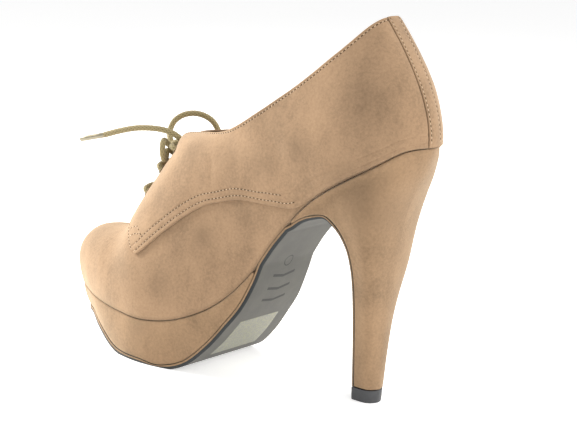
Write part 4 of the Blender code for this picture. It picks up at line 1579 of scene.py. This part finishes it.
class SHOE_OT_backstay(bpy.types.Operator):
    """Add the narrow strip that covers the back seam"""

    bl_idname = "shoe.backstay"
    bl_label = "Backstay"

    def execute(self, context):
        outside = OVERLAY_GAP + BACKSTAY_THICK
        rises = np.linspace(*EDGE_RISES, 121)
        edges = place_at_width(rises, BACKSTAY_WIDTH / 2)
        section = wall_section(20, 10, 0.0005, BACKSTAY_THICK, (0.0022, 7))

        def place(column, row):
            base, extra, depth = section[row].T
            share = np.clip(base + extra / BACKSTAY_WIDTH, 0, 1)
            rise = rises[column]
            start = edges[column]
            turn = start + share * (LOOP - 2 * start)
            points = skin(turn, rise)
            inward = np.minimum(share, 1 - share) * BACKSTAY_WIDTH
            relief = stay_softness(points) - seam_troughs(inward, (STAY_INSET,), 0.00045, STAY_DENT)
            height = outside - depth + relief * (1 - depth / BACKSTAY_THICK)
            return points + height[:, None] * skin_normal(turn, rise)

        def edge(column, row):
            # Painted shade on the strip's cut edges and back, by depth
            return section[row][:, 2] / BACKSTAY_THICK * 0.8

        backstay = laid_grid(
            "backstay_suede", len(rises) - 1, len(section) - 1, place, [suede()], edge=edge,
        )
        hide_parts("backstay")
        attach(backstay, "root")
        return {"FINISHED"}


class SHOE_OT_tongue(bpy.types.Operator):
    """Add the tongue under the throat"""

    bl_idname = "shoe.tongue"
    bl_label = "Tongue"

    def execute(self, context):
        stations = np.linspace(THROAT_START - TONGUE_BOW, TONGUE_END, 141)
        section = wall_section(40, 24, 0.0005, TONGUE_THICK, (0.0022, 5))
        depth_at = WALL + TONGUE_GAP

        def place(column, row):
            base, extra, depth = section[row].T
            across = np.clip(base + extra / TONGUE_WIDTH, 0, 1) * 2 - 1
            along = (stations[column] - THROAT_START) / (TONGUE_END - THROAT_START)
            spot = stations[column] - TONGUE_BOW * across ** 2 * along
            side = np.where(across >= 0, 1, -1)
            rise = rise_at_width(spot, side, np.abs(across) * TONGUE_WIDTH / 2)
            turn = turn_of(spot, side)
            points = skin(turn, rise)
            normal = skin_normal(turn, rise)
            normal[:, 1] = np.where(np.abs(across) < 0.02, 0, normal[:, 1])
            height = -depth_at - depth + softness(points, 0.014, 0.00020) * (1 - depth / TONGUE_THICK)
            return points + np.minimum(height, -depth_at - depth)[:, None] * unit(normal)

        def edge(column, row):
            # Painted shade on the tongue's cut edges and back, and at its top end
            top = (stations[-1] - stations[column]) / 0.05
            return np.clip(section[row][:, 2] / TONGUE_THICK, 0, 1) * 0.6 + 0.3 * np.exp(-top ** 2)

        tongue = laid_grid(
            "tongue_suede", len(stations) - 1, len(section) - 1, place, [suede()], edge=edge,
        )
        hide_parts("tongue")
        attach(tongue, "root")
        return {"FINISHED"}


def copied(node, name, finish, levels=2, crease=40):
    """Merged copy of a solid, its sharp edges creased, made smooth by subdivision."""
    source = frame["nodes"][node]
    shown = source.hide_viewport
    source.hide_viewport = False
    only(source)
    bpy.ops.object.duplicate()
    made = bpy.context.object
    source.hide_viewport = shown
    made.name = made.data.name = name
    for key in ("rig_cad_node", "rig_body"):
        if key in made:
            del made[key]
    made.parent = None
    only(made)
    bpy.ops.mesh.customdata_custom_splitnormals_clear()
    bpy.ops.object.mode_set(mode="EDIT")
    bpy.ops.mesh.select_all(action="SELECT")
    bpy.ops.mesh.remove_doubles(threshold=0.00002)
    bpy.ops.mesh.tris_convert_to_quads(
        face_threshold=math.radians(60), shape_threshold=math.radians(80),
    )
    bpy.ops.mesh.select_all(action="DESELECT")
    bpy.ops.mesh.select_mode(type="EDGE")
    bpy.ops.mesh.edges_select_sharp(sharpness=math.radians(crease))
    bpy.ops.transform.edge_crease(value=0.92)
    bpy.ops.mesh.select_mode(type="VERT")
    object_mode()
    made.data.materials.clear()
    made.data.materials.append(finish)
    return finished(made, ("SUBSURF", {"levels": levels, "render_levels": levels}))


class SHOE_OT_insole(bpy.types.Operator):
    """Add the insole that lines the bottom inside"""

    bl_idname = "shoe.insole"
    bl_label = "Insole"

    def execute(self, context):
        insole = copied("insole", "insole_lining", lining())
        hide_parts("insole")
        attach(insole, "root")
        return {"FINISHED"}


class SHOE_OT_platform(bpy.types.Operator):
    """Add the suede covered platform"""

    bl_idname = "shoe.platform"
    bl_label = "Platform"

    def execute(self, context):
        run = places([0.0, (1.0, 26), (3.0, 40), (8.0, 130), (PLATFORM_END, 6)])
        drop = CLEARANCE * side_normals(foot(run, 1))
        top = {side: foot(run, side) + drop for side in (1, -1)}
        low = {side: sole_line(run, side) for side in (1, -1)}
        outs = {side: plan_outward(top[side], side) for side in (1, -1)}
        radius, bulge, rows = 0.0011, 0.00055, 26
        shares = 0.5 - 0.5 * np.cos(np.linspace(0, math.pi, rows + 1))
        count = 2 * (rows + 1) + 1

        def place(column, row):
            """Down the outer side, up the inner side, and back to where it began."""
            first = row <= rows
            points = np.zeros((len(row), 3))
            for side, chosen in ((1, first), (-1, (row > rows) & (row < count - 1))):
                index = row[chosen] if side > 0 else 2 * rows + 1 - row[chosen]
                share = shares[index]
                high, deep = top[side][column[chosen]], low[side][column[chosen]]
                line = high + share[:, None] * (deep - high)
                length = np.linalg.norm(deep - high, axis=1)
                close = np.minimum(share, 1 - share) * length
                inside = np.clip(1 - close / radius, 0, 1)
                swell = bulge * np.sin(math.pi * share) * np.clip(length / 0.012, 0, 1)
                soft = softness(line, 0.013, 0.00022) * np.clip(close / 0.002, 0, 1)
                shift = swell + soft - radius * 0.55 * (1 - np.sqrt(1 - inside ** 2))
                points[chosen] = line + shift[:, None] * outs[side][column[chosen]]
            last = row == count - 1
            if last.any():
                points[last] = place(column[last], np.zeros(last.sum(), int))
            return points

        def edge(column, row):
            index = np.where(row <= rows, row, 2 * rows + 1 - row)
            share = shares[np.clip(index, 0, rows)]
            length = np.linalg.norm(top[1][column] - low[1][column], axis=1)
            close = np.minimum(share, 1 - share) * length
            side = np.where(row <= rows, 1, -1)
            line = top[1][column] + share[:, None] * (low[1][column] - top[1][column])
            # Painted shade in narrow bands along the top and bottom edges, the seams with the upper and the
            # sole, plus the darker patches
            return np.exp(-(close / 0.0006) ** 2) * 0.8 + nap_and_shade_patches(line, side)

        platform = laid_grid(
            "platform_suede", len(run) - 1, count - 1, place, [heel_suede()], edge=edge,
        )
        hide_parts("platform")
        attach(platform, "root")
        return {"FINISHED"}


def plan_outward(line, side):
    """Unit vectors in plan out of one side of an outline that runs from toe to heel."""
    ways = unit(np.gradient(line[:, :2], axis=0))
    return np.stack([side * ways[:, 1], -side * ways[:, 0], np.zeros(len(line))], axis=1)


def sole_chain():
    """Sole from the toe to the foot of the heel's breast: middles, half widths and thickness."""
    run = places([0.0, (1.0, 26), (3.0, 40), (8.0, 130), (SOLE_WAIST_END, 24)])
    outer, inner = sole_line(run, 1), sole_line(run, -1)
    levels = np.linspace(0, len(HEEL_ROWS) - 1, 110)
    front, half, _ = heel_section(levels)
    thick = SOLE_THICK + (FLAP_THICK - SOLE_THICK) * np.minimum(levels / 5, 1)
    x = np.concatenate([outer[:, 0], front[:, 0]])
    z = np.concatenate([outer[:, 2], front[:, 2]])
    left = np.concatenate([outer[:, 1], half])
    right = np.concatenate([inner[:, 1], -half])
    thick = np.concatenate([np.full(len(run), SOLE_THICK), thick])
    return np.stack([x, np.zeros(len(x)), z], axis=1), left, right, thick


class SHOE_OT_outsole(bpy.types.Operator):
    """Add the outsole with its dark edge, printed marks and the flap down the heel's breast"""

    bl_idname = "shoe.outsole"
    bl_label = "Outsole"

    def execute(self, context):
        ground = rubber_finish("sole_underside", colour_of("sole"), 0.62)
        edge_rubber = rubber_finish("sole_edge_rubber", colour_of("sole_edge"), 0.45)
        chain, left, right, thick = sole_chain()
        normals = side_normals(chain)
        normals[-1] = (1, 0, 0)
        above = chain + CLEARANCE * normals
        below = above + thick[:, None] * normals
        below[:, 2] = np.where(below[:, 2] < GROUND_OFF, 0, below[:, 2])
        above[-1, 2] = below[-1, 2] = LIFT_RISE + CLEARANCE
        section = self.section(sizes().sole_margin)

        def place(column, row):
            across, side_in, down, down_in = section[row].T
            middle = (left + right)[column] / 2
            half = (left - right)[column] / 2
            inset = np.minimum(side_in, 0.4 * half)
            y = middle + across * (half - inset)
            share = np.clip(down + down_in / thick[column], 0, 1)
            points = above[column] + share[:, None] * (below - above)[column]
            points[:, 1] = y
            return points

        def edge(column, row):
            across, side_in, down, _ = section[row].T
            lip = (down <= LIP_SHARE) & (side_in == 0) & (np.abs(across) == 1)
            return lip.astype(float)

        outsole = laid_grid(
            "outsole_rubber", len(chain) - 1, len(section) - 1, place,
            [ground, edge_rubber, heel_suede()], edge=edge,
        )
        self.darken_edge(outsole)
        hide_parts("outsole")
        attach(outsole, "root")
        self.add_trim(left, right, below, normals)
        return {"FINISHED"}

    def section(self, margin):
        """Closed section of the sole as (side, inset, share down, metres down) rows."""
        round_off, step = 0.0005, 0.0003
        rows = [(1, 0, 0, 0), (1, 0, LIP_SHARE, 0), (1, step, LIP_SHARE, 0), (1, step, 1, -round_off)]
        rows += [(1, step + round_off * 0.3, 1, -round_off * 0.3), (1, step + round_off, 1, 0)]
        rows += [(1, margin + step + round_off, 1, 0)]
        floor = [(share, margin + step + round_off, 1, 0) for share in np.linspace(0.9, -0.9, 15)]
        mirrored = [(-row[0], *row[1:]) for row in rows[::-1]]
        back = [(share, 0, 0, 0) for share in np.linspace(-0.8, 0.8, 5)]
        return np.array(rows + floor + mirrored + back + rows[:1])

    def darken_edge(self, outsole):
        """Second material on the sole's sides and its narrow margin."""
        mesh = outsole.data
        out, middle = faces_of(mesh, "normal"), faces_of(mesh, "center")
        toe = (np.abs(out[:, 0]) > 0.55) & (middle[:, 0] > 0.05)
        slots = np.where(toe | (np.abs(out[:, 1]) > 0.35), 1, 0)
        held = mesh.attributes["edge"].data
        lip = [all(held[corner].value > 0.5 for corner in face.vertices) for face in mesh.polygons]
        mesh.polygons.foreach_set("material_index", np.where(lip, 2, slots).astype(np.int32))
        held.foreach_set("value", np.zeros(len(mesh.vertices), np.float32))
        mesh.update()

    def add_trim(self, left, right, below, normals):
        """Pale patch, plain ring and three bars, laid on the underside in front of the heel."""
        run = run_along(below)

        def spot(distance, across, height):
            point = between(distance, run, below)
            out = unit(between(distance, run, normals))
            half = np.interp(distance, run, (left - right) / 2)
            point[:, 1] = np.interp(distance, run, (left + right) / 2) + across * half
            return point + np.asarray(height)[:, None] * out

        patch_start = np.interp(0.020, -below[:, 0], run)
        patch = patch_finish("sole_patch", colour_of("patch"), colour_of("vein"))

        patch_length, patch_share, columns, rows = 0.030, 1.24, 40, 24

        def patch_place(column, row):
            edge_in = (column == 0) | (column == columns) | (row == 0) | (row == rows)
            height = np.where(edge_in, -0.00005, 0.00018)
            distance = patch_start + column / columns * patch_length
            return spot(distance, (row / rows - 0.5) * patch_share, height)

        label = laid_grid("sole_patch", columns, rows, patch_place, [patch], closed_ends=False)
        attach(label, "root")
        dark = rubber_finish("sole_print", colour_of("sole_print"), 0.6)
        print_height, ring_steps, bar_steps = 0.00006, 48, 24

        def ring_place(column, row):
            angle = column / ring_steps * 2 * math.pi
            radius = 0.0029 + 0.0006 * row / 2
            start = np.interp(0.0554, -below[:, 0], run)
            distance = start + radius * np.cos(angle)
            half = np.interp(distance, run, (left - right) / 2)
            return spot(distance, radius * np.sin(angle) / half, np.full(len(column), print_height))

        marks = [laid_grid("sole_ring", ring_steps, 2, ring_place, [dark], closed_ends=False)]
        for number, along in enumerate((0.0525, 0.0495, 0.0465), 1):
            def bar_place(column, row):
                across = (column / bar_steps - 0.5) * 0.8
                start = np.interp(along, -below[:, 0], run)
                distance = start + 0.004 * np.abs(across) + (row - 1) * 0.0008
                return spot(distance, across, np.full(len(column), print_height))

            marks.append(
                laid_grid(f"sole_bar_{number}", bar_steps, 2, bar_place, [dark], closed_ends=False)
            )
        for mark in marks:
            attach(mark, "root")


class SHOE_OT_heel(bpy.types.Operator):
    """Add the suede covered heel"""

    bl_idname = "shoe.heel"
    bl_label = "Heel"

    def execute(self, context):
        heel = copied("heel", "heel_suede_cover", heel_suede())
        points = corners_of(heel.data)
        # Darker patches on the heel's suede, the broad one a painted shade
        set_number(heel.data, "edge", nap_and_shade_patches(points, np.sign(points[:, 1])))
        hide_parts("heel")
        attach(heel, "root")
        return {"FINISHED"}


class SHOE_OT_top_lift(bpy.types.Operator):
    """Add the rubber top lift under the heel"""

    bl_idname = "shoe.top_lift"
    bl_label = "Top lift"

    def execute(self, context):
        finish = rubber_finish("lift_rubber", colour_of("lift"), 0.5)
        lift = copied("top_lift", "top_lift_rubber", finish, levels=1, crease=30)
        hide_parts("top_lift")
        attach(lift, "root")
        return {"FINISHED"}


class SHOE_OT_eyelets(bpy.types.Operator):
    """Add the six metal eyelets"""

    bl_idname = "shoe.eyelets"
    bl_label = "Eyelets"

    def execute(self, context):
        finish = metal_finish("eyelet_metal", colour_of("eyelet"), 0.5)
        bore = EYELET_BORE / 2
        barrel = bore + EYELET_WALL
        flange = EYELET_FLANGE / 2
        depth = QUARTER_THICK + OVERLAY_GAP + WALL
        low, high = CLEARANCE, CLEARANCE + EYELET_RIM
        profile = [
            (bore, high - 0.00015), (bore + 0.0004, high), (flange - 0.0003, high - 0.00008),
            (flange, low + 0.0001), (flange - 0.0001, low), (barrel, low),
            (barrel, -depth), (bore, -depth),
        ]
        model = turned("eyelet_model", profile, 40, finish)
        finished(model, ("BEVEL", {"width": 0.00005, "segments": 2, "limit_method": "ANGLE"}))
        for label, side in (("outer", 1), ("inner", -1)):
            for number, place in enumerate(EYELET_PLACES, 1):
                only(model)
                bpy.ops.object.duplicate()
                eyelet = bpy.context.object
                eyelet.name = eyelet.data.name = f"eyelet_ring_{label}_{number}"
                centre, way = eyelet_spot(place, side)
                set_down(eyelet, facing(way), centre)
                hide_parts(f"eyelet_{label}_{number}")
                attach(eyelet, "root")
        bpy.data.objects.remove(model)
        return {"FINISHED"}


class SHOE_OT_stitches(bpy.types.Operator):
    """Add the rows of stitches along the quarters, top line, facings and backstay"""

    bl_idname = "shoe.stitches"
    bl_label = "Stitches"

    def execute(self, context):
        thread = thread_finish("sewing_thread", colour_of("thread"))
        hole = hole_finish("needle_holes", colour_of("hole"))
        for label, side in (("outer", 1), ("inner", -1)):
            rows = self.quarter_rows(side)
            seams = stitched(f"stitches_{label}", rows, thread, hole)
            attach(seams, "root")
        stay = stitched("stitches_back", self.stay_rows(), thread, hole)
        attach(stay, "root")
        return {"FINISHED"}

    def quarter_rows(self, side):
        """Rows along the quarter's lower edge, its facing and top line, and the tack at its tip."""
        settings = sizes()

        def line(knots, share, sunk=0.6):
            points, normal = quarter_points(side, knots, share, np.zeros(len(share)))
            relief = suede_relief(points, np.full(len(share), side))
            height = OVERLAY_GAP + QUARTER_THICK - sunk * settings.seam_depth
            return points + (height + relief + corner_lift(points))[:, None] * normal, normal

        def inset(knots, distance):
            return np.clip(distance / strap_lengths(side, knots), 0, 1)

        def tack(start, end):
            steps = np.linspace(0, 1, 20)[:, None]
            knots, share = (np.array(start) + steps * (np.array(end) - start)).T
            return line(knots, share, 0)

        lower = np.linspace(0.9, 10.9, 220)
        second = np.linspace(1.9, 10.6, 210)
        upper = np.linspace(0.3, len(QUARTER_ROWS) - 1.15, 260)
        return [
            line(lower, inset(lower, settings.low_inset)),
            line(second, inset(second, settings.low_inset + settings.row_spacing)),
            line(upper, 1 - inset(upper, settings.top_inset)),
            tack((1.9, 0.84), (3.4, 0.40)),
            tack((1.65, 0.70), (3.3, 0.22)),
            tack((3.4, 0.40), (3.3, 0.22)),
        ]

    def stay_rows(self):
        """Rows down both edges of the backstay."""
        rises = np.linspace(0.03, 0.975, 90)
        edges = place_at_width(rises, BACKSTAY_WIDTH / 2 - STAY_INSET)
        height = OVERLAY_GAP + BACKSTAY_THICK - STAY_DENT
        rows = []
        for turn in (edges, LOOP - edges):
            points = skin(turn, rises)
            normal = skin_normal(turn, rises)
            lift = height + stay_softness(points)
            rows.append((points + lift[:, None] * normal, normal))
        return rows


class SHOE_PT_panel(bpy.types.Panel):
    """Sidebar panel that lists the shoe's pieces, sizes and colours."""

    bl_idname = "SHOE_PT_panel"
    bl_label = "Lace up heel"
    bl_space_type = "VIEW_3D"
    bl_region_type = "UI"
    bl_category = "Shoe"

    def draw(self, context):
        layout = self.layout
        for operator in OPERATORS:
            layout.operator(operator.bl_idname)
        for group in (context.scene.shoe_sizes, context.scene.shoe_colours):
            for name in group.__annotations__:
                layout.prop(group, name)


OPERATORS = (
    SHOE_OT_stage, SHOE_OT_laces, SHOE_OT_upper, SHOE_OT_quarters, SHOE_OT_backstay, SHOE_OT_tongue,
    SHOE_OT_insole, SHOE_OT_platform, SHOE_OT_outsole, SHOE_OT_heel, SHOE_OT_top_lift,
    SHOE_OT_eyelets, SHOE_OT_stitches,
)
CLASSES = (ShoeSizes, ShoeColours, *OPERATORS, SHOE_PT_panel)


def register():
    """Add the shoe's classes and settings."""
    for item in CLASSES:
        bpy.utils.register_class(item)
    bpy.types.Scene.shoe_sizes = PointerProperty(type=ShoeSizes)
    bpy.types.Scene.shoe_colours = PointerProperty(type=ShoeColours)


def unregister():
    """Remove the shoe's settings and classes."""
    del bpy.types.Scene.shoe_sizes
    del bpy.types.Scene.shoe_colours
    for item in reversed(CLASSES):
        bpy.utils.unregister_class(item)


def main():
    """Make the whole shoe."""
    register()
    bpy.ops.shoe.stage()
    bpy.ops.shoe.laces()
    bpy.ops.shoe.upper()
    bpy.ops.shoe.quarters()
    bpy.ops.shoe.backstay()
    bpy.ops.shoe.tongue()
    bpy.ops.shoe.insole()
    bpy.ops.shoe.platform()
    bpy.ops.shoe.outsole()
    bpy.ops.shoe.heel()
    bpy.ops.shoe.top_lift()
    bpy.ops.shoe.eyelets()
    bpy.ops.shoe.stitches()


if __name__ == "__main__":
    main()
